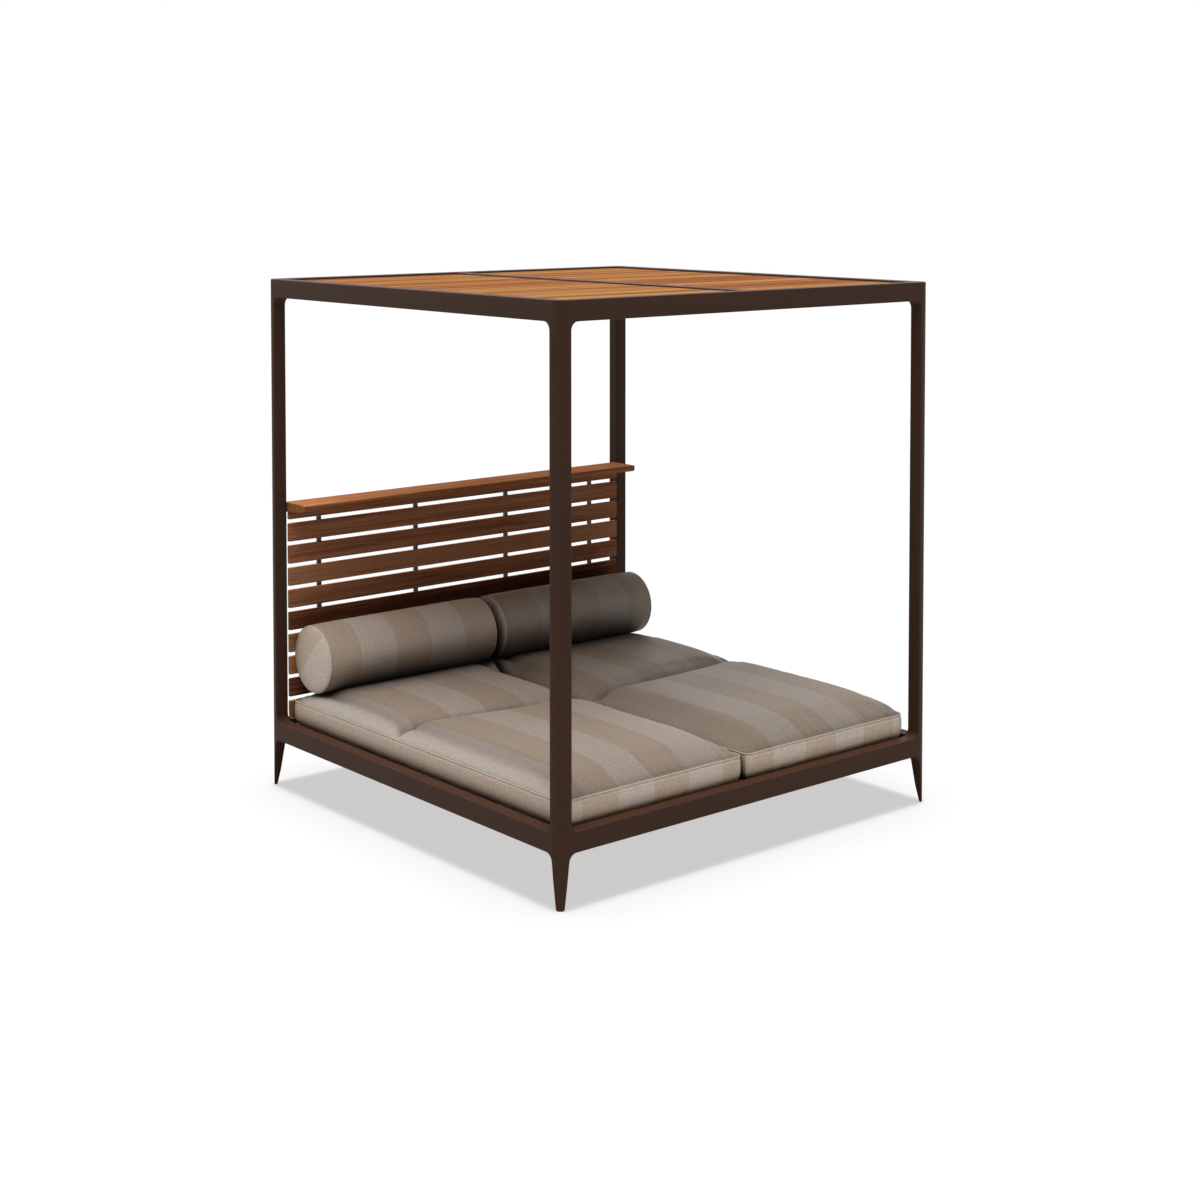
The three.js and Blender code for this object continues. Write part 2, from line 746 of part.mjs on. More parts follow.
// The right-hand panels are the left-hand ones turned half round.
['left', 'right'].forEach((side, index) => {
  const panels = new THREE.Group();
  panels.rotation.z = index * Math.PI;
  panels.add(
    named(`roof_panel_${side}`, slatPanel(roofTop, roofSlatWidth, roofSlatGap), teak),
    named(`deck_panel_${side}`, slatPanel(deckTop, deckSlatWidth, deckSlatGap), teak),
  );
  daybed.add(panels);
});

for (let index = 0; index < plankCount; index += 1) {
  const number = String(index + 1).padStart(2, '0');
  daybed.add(named(`headboard_plank_${number}`, plank(index), teak));
}
daybed.add(named('headboard_cap', headboardCap(), teak));
uprightPlaceShares.forEach((share, index) => {
  daybed.add(named(`headboard_upright_${index + 1}`, upright(clearHalfWidth * share), blackMetal));
});

const bolsterLeftWelts = {
  left: mattressSpans.left.right - bolsterInnerGaps.left - bolsterLength,
  right: mattressSpans.right.left + bolsterInnerGaps.right,
};
for (const [side, span] of Object.entries(mattressSpans)) {
  daybed.add(
    named(`mattress_${side}`, mattress(span), stripedFabric),
    named(`bolster_${side}`, bolster(bolsterLeftWelts[side]), stripedFabric),
  );
}

export default daybed;
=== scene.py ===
# Looks of an outdoor daybed with a slatted canopy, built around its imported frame.
# Metres, +Z up, headboard at +Y.
import json
import math

import bpy
import numpy as np
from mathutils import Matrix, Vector


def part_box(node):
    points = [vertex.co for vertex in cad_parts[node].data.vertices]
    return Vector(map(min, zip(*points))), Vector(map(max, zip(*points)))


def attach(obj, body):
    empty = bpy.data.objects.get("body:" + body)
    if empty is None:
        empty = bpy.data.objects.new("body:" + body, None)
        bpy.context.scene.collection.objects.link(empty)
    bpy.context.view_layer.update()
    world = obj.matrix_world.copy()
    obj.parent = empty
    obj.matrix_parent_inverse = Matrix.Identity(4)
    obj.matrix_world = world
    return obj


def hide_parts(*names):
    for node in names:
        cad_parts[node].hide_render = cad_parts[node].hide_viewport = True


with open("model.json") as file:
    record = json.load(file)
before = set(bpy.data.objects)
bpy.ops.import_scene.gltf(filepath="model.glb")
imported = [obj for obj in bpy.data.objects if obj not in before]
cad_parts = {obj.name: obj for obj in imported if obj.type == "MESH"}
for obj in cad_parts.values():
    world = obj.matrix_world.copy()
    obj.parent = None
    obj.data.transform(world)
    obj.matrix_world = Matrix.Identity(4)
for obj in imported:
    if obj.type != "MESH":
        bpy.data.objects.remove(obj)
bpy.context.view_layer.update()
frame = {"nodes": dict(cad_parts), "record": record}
nodes = frame["nodes"]
scene = bpy.context.scene
print("frame loaded:", len(nodes), "nodes")


# Camera, room and light

view = {
    "position": (-5.3783, -6.4276, 2.6283),
    "pitch": -2.627,
    "yaw": -40.095,
    "lens": 59.386,
    "sensor": 36,
    "shift": (0.0003, -0.27507),
    "farthest": 60,
}


def placeCamera():
    cameraData = bpy.data.cameras.new("studio camera")
    cameraData.lens = view["lens"]
    cameraData.sensor_width = view["sensor"]
    cameraData.shift_x, cameraData.shift_y = view["shift"]
    cameraData.clip_end = view["farthest"]
    camera = bpy.data.objects.new("studio camera", cameraData)
    camera.location = view["position"]
    camera.rotation_euler = (math.radians(90 + view["pitch"]), 0, math.radians(view["yaw"]))
    scene.collection.objects.link(camera)
    scene.camera = camera


def linear(hexColour):  # sRGB hex to the linear values that a shader takes
    parts = [int(hexColour[place:place + 2], 16) / 255 for place in (1, 3, 5)]
    return [part / 12.92 if part <= 0.04045 else ((part + 0.055) / 1.055) ** 2.4 for part in parts] + [1.0]


def addNode(tree, kind, inputs=None, **settings):  # an input takes a value, or the socket that feeds it
    node = tree.nodes.new(kind)
    for name, value in settings.items():
        setattr(node, name, value)
    for name, value in (inputs or {}).items():
        if isinstance(value, bpy.types.NodeSocket):
            tree.links.new(value, node.inputs[name])
        else:
            node.inputs[name].default_value = value
    return node


def newMaterial(name):
    material = bpy.data.materials.new(name)
    material.use_nodes = True
    material.node_tree.nodes.clear()
    return material, material.node_tree


def finishMaterial(tree, shader):
    addNode(tree, "ShaderNodeOutputMaterial", {"Surface": shader.outputs[0]})


def finishSurface(tree, colour, height, finish):  # adds fine relief, edges that catch the light, and gloss
    bump = {"Strength": finish["relief"], "Distance": finish["reliefDepth"], "Height": height}
    if "edgeRadius" in finish:
        edges = addNode(tree, "ShaderNodeBevel", {"Radius": finish["edgeRadius"]},
                        samples=finish["edgeSamples"])
        bump["Normal"] = edges.outputs[0]
    relief = addNode(tree, "ShaderNodeBump", bump)
    finishMaterial(tree, addNode(tree, "ShaderNodeBsdfPrincipled", {
        "Base Color": colour, "Roughness": finish["roughness"], "Specular IOR Level": finish["specular"],
        "Normal": relief.outputs[0]}))


room = {
    "floorSize": 60,
    "floorColour": "#e6e6e6",
    "seenColour": "#a8a8a8",  # to camera rays, so that the lit floor with the glow is just white
    "floorGlow": 0.592,
    "ambient": 0.03,  # light from all round, on what isn't seen directly
}

lamps = {  # wide soft lamps far away; degrees from +X towards +Y, and up from the floor
    "front, high": {"azimuth": 256, "elevation": 62, "strength": 1.35},
    "front left": {"azimuth": 208, "elevation": 54, "strength": 0.75},
    "left, high": {"azimuth": 185, "elevation": 64, "strength": 0.7},
    "right, low": {"azimuth": 0, "elevation": 18, "strength": 0.6},
    "back right, low": {"azimuth": 45, "elevation": 15, "strength": 0.12},
    "back": {"azimuth": 90, "elevation": 47, "strength": 0.5},
    "back, high": {"azimuth": 90, "elevation": 68, "strength": 0.6},
}

sheenLamps = {  # seen only as gloss, for the satin light bands of the cloth
    "front right, sheen": {"azimuth": 306, "elevation": 16, "strength": 0.8},
    "back left, sheen": {"azimuth": 130, "elevation": 26, "strength": 2.6},
}

overheadLamps = {  # light only the floor: the shadow straight beneath, and its soft fringe
    "overhead": {"strength": 1.4, "angle": 2.0},
    "overhead, wide": {"strength": 2.0, "angle": 20},
}

lampAngle = 30
sheenAngle = 40
lampDistance = 6


def buildRoom():
    world = bpy.data.worlds.new("white studio")
    scene.world = world
    world.use_nodes = True
    tree = world.node_tree
    tree.nodes.clear()
    path = addNode(tree, "ShaderNodeLightPath")
    seen = addNode(tree, "ShaderNodeMath", {
        0: path.outputs["Is Camera Ray"], 1: path.outputs["Is Glossy Ray"]}, operation="MAXIMUM")
    seenThrough = addNode(tree, "ShaderNodeMath", {
        0: seen.outputs[0], 1: path.outputs["Is Transmission Ray"]}, operation="MAXIMUM")
    dim = addNode(tree, "ShaderNodeBackground", {"Color": (1, 1, 1, 1), "Strength": room["ambient"]})
    white = addNode(tree, "ShaderNodeBackground", {"Color": (1, 1, 1, 1), "Strength": 1})
    mixed = addNode(tree, "ShaderNodeMixShader", {
        0: seenThrough.outputs[0], 1: dim.outputs[0], 2: white.outputs[0]})
    addNode(tree, "ShaderNodeOutputWorld", {"Surface": mixed.outputs[0]})

    half = room["floorSize"] / 2
    corners = [(-half, -half, 0), (half, -half, 0), (half, half, 0), (-half, half, 0)]
    mesh = bpy.data.meshes.new("studio floor")
    mesh.from_pydata(corners, [], [(0, 1, 2, 3)])
    floor = bpy.data.objects.new("studio floor", mesh)
    scene.collection.objects.link(floor)
    material, tree = newMaterial("matt white floor")
    path = addNode(tree, "ShaderNodeLightPath")
    seen = addNode(tree, "ShaderNodeMath", {
        0: path.outputs["Is Camera Ray"], 1: path.outputs["Is Glossy Ray"]}, operation="MAXIMUM")
    glow = addNode(tree, "ShaderNodeMath", {0: seen.outputs[0], 1: room["floorGlow"]}, operation="MULTIPLY")
    tone = addNode(tree, "ShaderNodeMix", {
        0: path.outputs["Is Camera Ray"], 6: linear(room["floorColour"]),
        7: linear(room["seenColour"])}, data_type="RGBA")
    paint = addNode(tree, "ShaderNodeBsdfDiffuse", {"Color": tone.outputs[2]})
    light = addNode(tree, "ShaderNodeEmission", {"Color": (1, 1, 1, 1), "Strength": glow.outputs[0]})
    both = addNode(tree, "ShaderNodeAddShader", {0: paint.outputs[0], 1: light.outputs[0]})
    finishMaterial(tree, both)
    mesh.materials.append(material)
    return floor


def hangLamp(name, azimuth, elevation, strength, angle, lit, diffuse=True):
    data = bpy.data.lights.new(name, "SUN")
    data.energy = strength
    data.angle = math.radians(angle)
    lamp = bpy.data.objects.new(name, data)
    turn, rise = math.radians(azimuth), math.radians(elevation)
    away = Vector((math.cos(turn) * math.cos(rise), math.sin(turn) * math.cos(rise), math.sin(rise)))
    lamp.location = away * lampDistance
    lamp.rotation_euler = away.to_track_quat("Z", "Y").to_euler()
    lamp.light_linking.receiver_collection = lit
    lamp.visible_diffuse = diffuse
    scene.collection.objects.link(lamp)


def hangLamps(floor):  # the soft lamps leave the floor out, so that only the overhead ones shade it
    onlyFloor = bpy.data.collections.new("lit by the overhead lamps")
    onlyFloor.objects.link(floor)
    allButFloor = bpy.data.collections.new("not lit by the soft lamps")
    allButFloor.objects.link(floor)
    allButFloor.collection_objects[0].light_linking.link_state = "EXCLUDE"
    for name, lamp in lamps.items():
        hangLamp(name, lamp["azimuth"], lamp["elevation"], lamp["strength"], lampAngle, allButFloor)
    for name, lamp in sheenLamps.items():
        hangLamp(name, lamp["azimuth"], lamp["elevation"], lamp["strength"], sheenAngle, allButFloor,
                 diffuse=False)
    for name, lamp in overheadLamps.items():
        hangLamp(name, 0, 90, lamp["strength"], lamp["angle"], onlyFloor)


placeCamera()
hangLamps(buildRoom())
scene.view_settings.view_transform = "Standard"
print("camera, floor and lamps placed")


# Metal, wood and nylon

bronze = {
    "colour": "#3b291f",
    "paleColour": "#453127",
    "litTopColour": "#503629",  # painted light: upward faces are made lighter and warmer than the upright ones
    "roughness": 0.5,
    "specular": 0.04,
    "grain": 0.0016,  # the powder's texture, drawn coarser than the real 0.3 mm so that it shows
    "relief": 0.25,
    "reliefDepth": 0.0003,
    "cloudsPerMetre": 2.2,
    "edgeRadius": 0.0022,
    "edgeSamples": 6,
}

upwardRange = (0.35, 0.95)  # the upward part of a face's direction where the change starts and ends


def upwardShare(tree):  # 1 on faces that look up, 0 on upright ones: the mask for the painted light on upward faces
    here = addNode(tree, "ShaderNodeNewGeometry")
    split = addNode(tree, "ShaderNodeSeparateXYZ", {0: here.outputs["Normal"]})
    share = addNode(tree, "ShaderNodeMapRange", {0: split.outputs["Z"], 1: upwardRange[0], 2: upwardRange[1]})
    return share.outputs[0]


def powderCoatedAluminium():  # matt bronze with a faint sparkle, edges that catch the light, and painted light on upward faces
    material, tree = newMaterial("powder-coated aluminium, dark bronze")
    place = addNode(tree, "ShaderNodeTexCoord")
    powder = addNode(tree, "ShaderNodeTexNoise", {
        "Vector": place.outputs["Object"], "Scale": 1 / bronze["grain"], "Detail": 2.0, "Roughness": 0.6})
    cloud = addNode(tree, "ShaderNodeTexNoise", {
        "Vector": place.outputs["Object"], "Scale": bronze["cloudsPerMetre"], "Detail": 3.0})
    blend = addNode(tree, "ShaderNodeMath", {
        0: powder.outputs[0], 1: cloud.outputs[0]}, operation="MULTIPLY")
    colour = addNode(tree, "ShaderNodeMix", {
        0: blend.outputs[0], 6: linear(bronze["colour"]), 7: linear(bronze["paleColour"])}, data_type="RGBA")
    # painted light: upward faces get the lighter, warmer colour
    litTops = addNode(tree, "ShaderNodeMix", {
        0: upwardShare(tree), 6: colour.outputs[2], 7: linear(bronze["litTopColour"])}, data_type="RGBA")
    finishSurface(tree, litTops.outputs[2], powder.outputs[0], bronze)
    return material


woods = {  # start and pitch are where the boards begin and repeat, so that each gets its own tone
    "roof": {
        "name": "oiled teak, roof slats", "dark": "#874925", "middle": "#a76c3a", "light": "#c08b50",
        "across": "Y", "start": -0.9407, "pitch": 0.0471, "spread": 0.55, "panels": 57.3,
        "shadedFaceTone": 0.6, "litTopTone": 1.0},
    "deck": {
        "name": "sawn teak, deck slats", "dark": "#80522f", "middle": "#a87848", "light": "#c09060",
        "across": "Y", "start": -0.9407, "pitch": 0.1076, "spread": 0.4, "panels": 57.3,
        "shadedFaceTone": 0.8, "litTopTone": 1.0},
    "headboard": {
        "name": "oiled teak, headboard", "dark": "#6f402b", "middle": "#9c6446", "light": "#b9805a",
        "across": "Z", "start": 0.2781, "pitch": 0.0968, "spread": 0.5, "panels": 0.0,
        "shadedFaceTone": 0.72, "litTopTone": 1.5},  # painted shade and light: the upright faces are made darker and the upward tops lighter
    # painted light: a lighter copy of the headboard's teak for the cap's lit top, with its faces in painted
    # shade
    "cap": {
        "name": "oiled teak, headboard cap", "dark": "#96572f", "middle": "#c57b4d", "light": "#d9a06c",
        "across": "Z", "start": 0.2781, "pitch": 0.0968, "spread": 0.2, "panels": 0.0,
        "shadedFaceTone": 0.45, "litTopTone": 1.0},
}

teak = {
    "streakLength": 0.5,
    "streakWidth": 0.012,
    "poreLength": 0.06,
    "poreWidth": 0.0022,  # drawn coarser than the real 0.3 mm so that the pores show
    "darkPlace": 0.38,
    "middlePlace": 0.6,
    "lightPlace": 0.86,
    "roughness": 0.7,
    "specular": 0.015,
    "relief": 0.3,
    "reliefDepth": 0.0003,
    "edgeRadius": 0.002,
    "edgeSamples": 6,
}


def oiledTeak(wood):  # long straight grain with red-brown streaks, a different board each pitch, and painted light on upward faces
    material, tree = newMaterial(wood["name"])
    place = addNode(tree, "ShaderNodeTexCoord")
    split = addNode(tree, "ShaderNodeSeparateXYZ", {0: place.outputs["Object"]})
    fromStart = addNode(tree, "ShaderNodeMath", {
        0: split.outputs[wood["across"]], 1: wood["start"]}, operation="SUBTRACT")
    boards = addNode(tree, "ShaderNodeMath", {0: fromStart.outputs[0], 1: wood["pitch"]}, operation="DIVIDE")
    whole = addNode(tree, "ShaderNodeMath", {0: boards.outputs[0]}, operation="FLOOR")
    side = addNode(tree, "ShaderNodeMath", {0: split.outputs["X"], 1: 0.0}, operation="GREATER_THAN")
    number = addNode(tree, "ShaderNodeMath", {
        0: side.outputs[0], 1: wood["panels"], 2: whole.outputs[0]}, operation="MULTIPLY_ADD")
    chance = addNode(tree, "ShaderNodeTexWhiteNoise", {"W": number.outputs[0]}, noise_dimensions="1D")
    shift = addNode(tree, "ShaderNodeVectorMath", {
        0: chance.outputs["Color"], 1: (9.0, 9.0, 9.0), 2: place.outputs["Object"]}, operation="MULTIPLY_ADD")
    along = addNode(tree, "ShaderNodeMapping", {
        "Vector": shift.outputs[0],
        "Scale": (1 / teak["streakLength"], 1 / teak["streakWidth"], 1 / teak["streakWidth"])})
    streaks = addNode(tree, "ShaderNodeTexNoise", {
        "Vector": along.outputs[0], "Scale": 1.0, "Detail": 5.0, "Roughness": 0.6, "Distortion": 0.4})
    fine = addNode(tree, "ShaderNodeMapping", {
        "Vector": shift.outputs[0],
        "Scale": (1 / teak["poreLength"], 1 / teak["poreWidth"], 1 / teak["poreWidth"])})
    pores = addNode(tree, "ShaderNodeTexNoise", {"Vector": fine.outputs[0], "Scale": 1.0, "Detail": 2.0})
    ownTone = addNode(tree, "ShaderNodeMath", {0: chance.outputs[0], 1: 0.5}, operation="SUBTRACT")
    grain = addNode(tree, "ShaderNodeMath", {
        0: pores.outputs[0], 1: 0.25, 2: streaks.outputs[0]}, operation="MULTIPLY_ADD")
    tone = addNode(tree, "ShaderNodeMath", {
        0: ownTone.outputs[0], 1: wood["spread"], 2: grain.outputs[0]}, operation="MULTIPLY_ADD")
    ramp = addNode(tree, "ShaderNodeValToRGB", {0: tone.outputs[0]})
    ramp.color_ramp.elements[0].position = teak["darkPlace"]
    ramp.color_ramp.elements[0].color = linear(wood["dark"])
    ramp.color_ramp.elements[1].position = teak["lightPlace"]
    ramp.color_ramp.elements[1].color = linear(wood["light"])
    ramp.color_ramp.elements.new(teak["middlePlace"]).color = linear(wood["middle"])
    # painted light and shade: upward faces lighter, upright faces darker
    lit = addNode(tree, "ShaderNodeMapRange", {0: upwardShare(tree), 3: wood["shadedFaceTone"], 4: wood["litTopTone"]})
    toned = addNode(tree, "ShaderNodeMix", {
        0: 1.0, 6: ramp.outputs[0], 7: lit.outputs[0]}, data_type="RGBA", blend_type="MULTIPLY")
    finishSurface(tree, toned.outputs[2], pores.outputs[0], teak)
    return material


blacks = {
    "upright": {"name": "powder-coated steel, black satin", "colour": "#0c0b0b", "roughness": 0.35},
    "glide": {"name": "moulded nylon, black", "colour": "#0a0a0a", "roughness": 0.6},
}
blackGrain = {
    "paleColour": "#1c1a19",
    "specular": 0.3,
    "relief": 0.2,
    "reliefDepth": 0.0002,
    "edgeRadius": 0.001,
    "edgeSamples": 4,
}


def blackCoating(black):  # even black: satin on the bars, duller on the moulded glides
    material, tree = newMaterial(black["name"])
    place = addNode(tree, "ShaderNodeTexCoord")
    grain = addNode(tree, "ShaderNodeTexNoise", {
        "Vector": place.outputs["Object"], "Scale": 1 / bronze["grain"], "Detail": 2.0})
    colour = addNode(tree, "ShaderNodeMix", {
        0: grain.outputs[0], 6: linear(black["colour"]), 7: linear(blackGrain["paleColour"])},
        data_type="RGBA")
    finishSurface(tree, colour.outputs[2], grain.outputs[0], {**blackGrain, **black})
    return material


smoothing = {"weld": 0.00002, "limit": 28}  # metres, and degrees between faces


def shadeByAngle():  # welds the drawn facets and keeps only the true edges sharp
    group = bpy.data.node_groups.new("smooth by angle", "GeometryNodeTree")
    group.interface.new_socket("Geometry", in_out="INPUT", socket_type="NodeSocketGeometry")
    group.interface.new_socket("Geometry", in_out="OUTPUT", socket_type="NodeSocketGeometry")
    start = addNode(group, "NodeGroupInput")
    merged = addNode(group, "GeometryNodeMergeByDistance", {
        "Geometry": start.outputs[0], "Distance": smoothing["weld"]})
    faces = addNode(group, "GeometryNodeSetShadeSmooth", {
        "Geometry": merged.outputs[0], "Shade Smooth": True}, domain="FACE")
    angle = addNode(group, "GeometryNodeInputMeshEdgeAngle")
    sharp = addNode(group, "FunctionNodeCompare", {
        0: angle.outputs[0], 1: math.radians(smoothing["limit"])}, operation="GREATER_THAN")
    edges = addNode(group, "GeometryNodeSetShadeSmooth", {
        "Geometry": faces.outputs[0], "Selection": sharp.outputs[0], "Shade Smooth": False}, domain="EDGE")
    addNode(group, "NodeGroupOutput", {0: edges.outputs[0]})
    return group


def dressFrame():
    finishes = {
        "frame_coating": powderCoatedAluminium(),
        "roof_wood": oiledTeak(woods["roof"]),
        "deck_wood": oiledTeak(woods["deck"]),
        "headboard_wood": oiledTeak(woods["headboard"]),
        "upright_coating": blackCoating(blacks["upright"]),
        "glide_nylon": blackCoating(blacks["glide"]),
    }
    capFinish = oiledTeak(woods["cap"])
    byAngle = shadeByAngle()
    slots = {row["node"]: row["material_slot"] for row in frame["record"]["subparts"]}
    for name, node in nodes.items():
        if slots[name] not in finishes:
            continue
        node.data.materials.clear()
        node.data.materials.append(capFinish if name == "headboard_cap" else finishes[slots[name]])
        if "custom_normal" in node.data.attributes:
            node.data.attributes.remove(node.data.attributes["custom_normal"])
        smooth = node.modifiers.new("smooth by angle", "NODES")
        smooth.node_group = byAngle
        flat = node.modifiers.new("flat faces stay flat", "WEIGHTED_NORMAL")
        flat.keep_sharp = True


dressFrame()
print("frame dressed")


# Fabric

fabric = {
    "taupe": "#b09e8b",
    "light": "#bbada0",
    "boxing": "#b5a290",
    "sewing": "#d6cbbd",
    "roughness": 0.55,
    "specular": 0.25,
    "thread": 0.0022,  # drawn coarser than the real 0.5 mm so that it shows
    "threadLength": 0.01,
    "relief": 0.35,
    "reliefDepth": 0.0008,
    "weaveRange": (0.7, 1.3),
    "weaveShade": (0.79, 1.19),
    "edgeWander": 0.0012,  # how far the stripes' edges stray
    "wandersPerMetre": 9.0,
    "openRange": (0.12, 0.88),  # from closed in to open, where the painted crease shade fades
    "crease": (0.28, 0.92),  # painted shade in the creases: how near a neighbour darkens the cloth, and how much
    "boxingCrease": (0.075, 0.85),
    "endCrease": (0.026, 0.92),
    "weltCrease": (0.02, 0.2),
    "bolsterCrease": (0.26, 0.92),
    "bolsterWeltCrease": (0.2, 0.8),
    "endLightGain": 1.22,  # painted light: the striped boxing on the front and back is made lighter than the top
    "margin": 0.05,  # how far the stripes' pattern reaches past the piece
}


def wovenFabric(name, stops, start, end, across=(1, 0, 0), gain=1.0, crease=fabric["crease"]):
    # satin-faced woven cloth: crisp stripes, fine threads, light bands where it turns, painted shade in its
    # creases
    material, tree = newMaterial(name)
    place = addNode(tree, "ShaderNodeTexCoord")
    distance = addNode(tree, "ShaderNodeVectorMath", {
        0: place.outputs["Object"], 1: across}, operation="DOT_PRODUCT")
    fine, drawn = 1 / fabric["thread"], 1 / fabric["threadLength"]
    lengthwise = addNode(tree, "ShaderNodeMapping", {
        "Vector": place.outputs["Object"], "Scale": (fine, drawn, drawn)})
    crosswise = addNode(tree, "ShaderNodeMapping", {
        "Vector": place.outputs["Object"], "Scale": (drawn, fine, fine)})
    warp = addNode(tree, "ShaderNodeTexNoise", {"Vector": lengthwise.outputs[0], "Scale": 1.0, "Detail": 1.5})
    weft = addNode(tree, "ShaderNodeTexNoise", {"Vector": crosswise.outputs[0], "Scale": 1.0, "Detail": 1.5})
    weave = addNode(tree, "ShaderNodeMath", {0: warp.outputs[0], 1: weft.outputs[0]}, operation="ADD")
    wander = addNode(tree, "ShaderNodeTexNoise", {
        "Vector": place.outputs["Object"], "Scale": fabric["wandersPerMetre"], "Detail": 1.0})
    offset = addNode(tree, "ShaderNodeMath", {
        0: wander.outputs[0], 1: fabric["edgeWander"], 2: distance.outputs["Value"]},
        operation="MULTIPLY_ADD")
    share = addNode(tree, "ShaderNodeMapRange", {0: offset.outputs[0], 1: start, 2: end})
    stripes = addNode(tree, "ShaderNodeValToRGB", {0: share.outputs[0]})
    stripes.color_ramp.interpolation = "CONSTANT"
    elements = stripes.color_ramp.elements
    while len(elements) > 1:
        elements.remove(elements[-1])
    for order, (edge, tone) in enumerate(stops):
        position = (edge - start) / (end - start)
        element = elements[0] if order == 0 else elements.new(position)
        element.position = max(position, 0)
        element.color = [part * gain for part in linear(fabric[tone])[:3]] + [1.0]
    shade = addNode(tree, "ShaderNodeMapRange", {
        0: weave.outputs[0], 1: fabric["weaveRange"][0], 2: fabric["weaveRange"][1],
        3: fabric["weaveShade"][0], 4: fabric["weaveShade"][1]})
    colour = addNode(tree, "ShaderNodeMix", {
        0: 1.0, 6: stripes.outputs[0], 7: shade.outputs[0]}, data_type="RGBA", blend_type="MULTIPLY")
    # painted shade: darker where the cloth's neighbours close it in
    openness = addNode(tree, "ShaderNodeAmbientOcclusion", {"Distance": crease[0]}, samples=8)
    paintedCreaseShade = addNode(tree, "ShaderNodeMapRange", {
        0: openness.outputs["AO"], 1: fabric["openRange"][0], 2: fabric["openRange"][1],
        3: 1 - crease[1], 4: 1.0})
    # painted shade from the mattresses' hollowShade attribute
    hollow = addNode(tree, "ShaderNodeAttribute", attribute_name="hollowShade")
    clear = addNode(tree, "ShaderNodeMath", {0: 1.0, 1: hollow.outputs["Fac"]}, operation="SUBTRACT")
    tone = addNode(tree, "ShaderNodeMath", {0: paintedCreaseShade.outputs[0], 1: clear.outputs[0]}, operation="MULTIPLY")
    shaded = addNode(tree, "ShaderNodeMix", {
        0: 1.0, 6: colour.outputs[2], 7: tone.outputs[0]}, data_type="RGBA", blend_type="MULTIPLY")
    finishSurface(tree, shaded.outputs[2], weave.outputs[0], fabric)
    return material


def plainFabric(name, tone, crease):  # the same cloth in one colour, with its only stripe wider than the bed
    return wovenFabric(name, [(-2, tone)], -2, 2, crease=crease)


def newPiece(name, points, faces, materials, faceMaterials=None, body=None, slot=None):
    mesh = bpy.data.meshes.new(name)
    mesh.from_pydata([tuple(point) for point in points], [],
                     [tuple(int(place) for place in face) for face in faces])
    for material in materials:
        mesh.materials.append(material)
    if faceMaterials is not None:
        mesh.polygons.foreach_set("material_index", faceMaterials)
    mesh.polygons.foreach_set("use_smooth", [True] * len(mesh.polygons))
    mesh.validate()
    mesh.update()
    piece = bpy.data.objects.new(name, mesh)
    scene.collection.objects.link(piece)
    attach(piece, body)
    return piece


edgeCrowding = 1.4  # how strongly places crowd together at an edge


def closer(start, end, edgeReach, edgeCount, spacing):  # places that crowd together near both ends
    eased = [edgeReach * (step / edgeCount) ** edgeCrowding for step in range(edgeCount)]
    length = end - start - 2 * edgeReach
    count = max(2, round(length / spacing))
    inner = [start + edgeReach + length * step / count for step in range(count + 1)]
    return [start + step for step in eased] + inner + [end - step for step in reversed(eased)]


def gridFaces(rows, columns):  # the faces of a grid of points that is counted row by row
    index = np.arange(rows * columns).reshape(rows, columns)
    corners = [index[:-1, :-1], index[:-1, 1:], index[1:, 1:], index[1:, :-1]]
    return np.stack(corners, axis=2).reshape(-1, 4).tolist()


settling = {
    "pressure": 4.0,
    "slack": 0.006,  # how much larger the cover is cut than its filling
    "bending": 0.1,
    "quality": 4,
    "frames": 20,
    "cap": 0.0045,  # the farthest that a point moves
    "step": 2,  # every second row and column takes part, which keeps it quick
    "heldEdge": 0.006,  # held this near to the seams
    "heldFold": 0.005,
    "heldBehind": 0.58,  # held by the bolsters from here to the back
}


def between(values, step, count):  # fills in the rows that were left out
    places = np.arange(count) / step
    low = np.minimum(places.astype(int), len(values) - 2)
    share = (places - low).reshape(-1, *[1] * (values.ndim - 1))
    return values[low] * (1 - share) + values[low + 1] * share


# Cloth simulation: the filling's pressure swells the slack cover between its seams. The number of
# rows and of columns is odd, so that every second one reaches both ends.
def settleCover(grid, held):
    step = settling["step"]
    rows, columns = grid.shape[:2]
    coarse = grid[::step, ::step]
    high, wide = coarse.shape[:2]
    mesh = bpy.data.meshes.new("settling cover")
    mesh.from_pydata(coarse.reshape(-1, 3).tolist(), [], gridFaces(high, wide))
    cover = bpy.data.objects.new("settling cover", mesh)
    scene.collection.objects.link(cover)
    heldPoints = np.nonzero(held[::step, ::step].ravel())[0].tolist()
    cover.vertex_groups.new(name="held").add(heldPoints, 1.0, "REPLACE")
    cloth = cover.modifiers.new("cover", "CLOTH")
    cloth.settings.quality = settling["quality"]
    cloth.settings.vertex_group_mass = "held"
    cloth.settings.use_pressure = True
    cloth.settings.uniform_pressure_force = settling["pressure"]
    cloth.settings.shrink_min = -settling["slack"]
    cloth.settings.bending_stiffness = settling["bending"]
    cloth.settings.effector_weights.gravity = 0
    cloth.collision_settings.use_collision = False
    for frameNumber in range(1, settling["frames"] + 1):
        scene.frame_set(frameNumber)
    settled = cover.evaluated_get(bpy.context.evaluated_depsgraph_get()).data
    after = np.empty(high * wide * 3)
    settled.vertices.foreach_get("co", after)
    move = after.reshape(high, wide, 3) - coarse
    far = np.linalg.norm(move, axis=2, keepdims=True)
    move = move * np.minimum(1, settling["cap"] / np.maximum(far, 1e-9))
    scene.frame_set(1)
    bpy.data.objects.remove(cover)
    print("cover settled:", high * wide, "points, farthest move before the cap",
          round(float(far.max()) * 1000, 1), "mm")
    filled = between(between(move, step, rows).swapaxes(0, 1), step, columns).swapaxes(0, 1)
    return grid + filled


# Mattresses

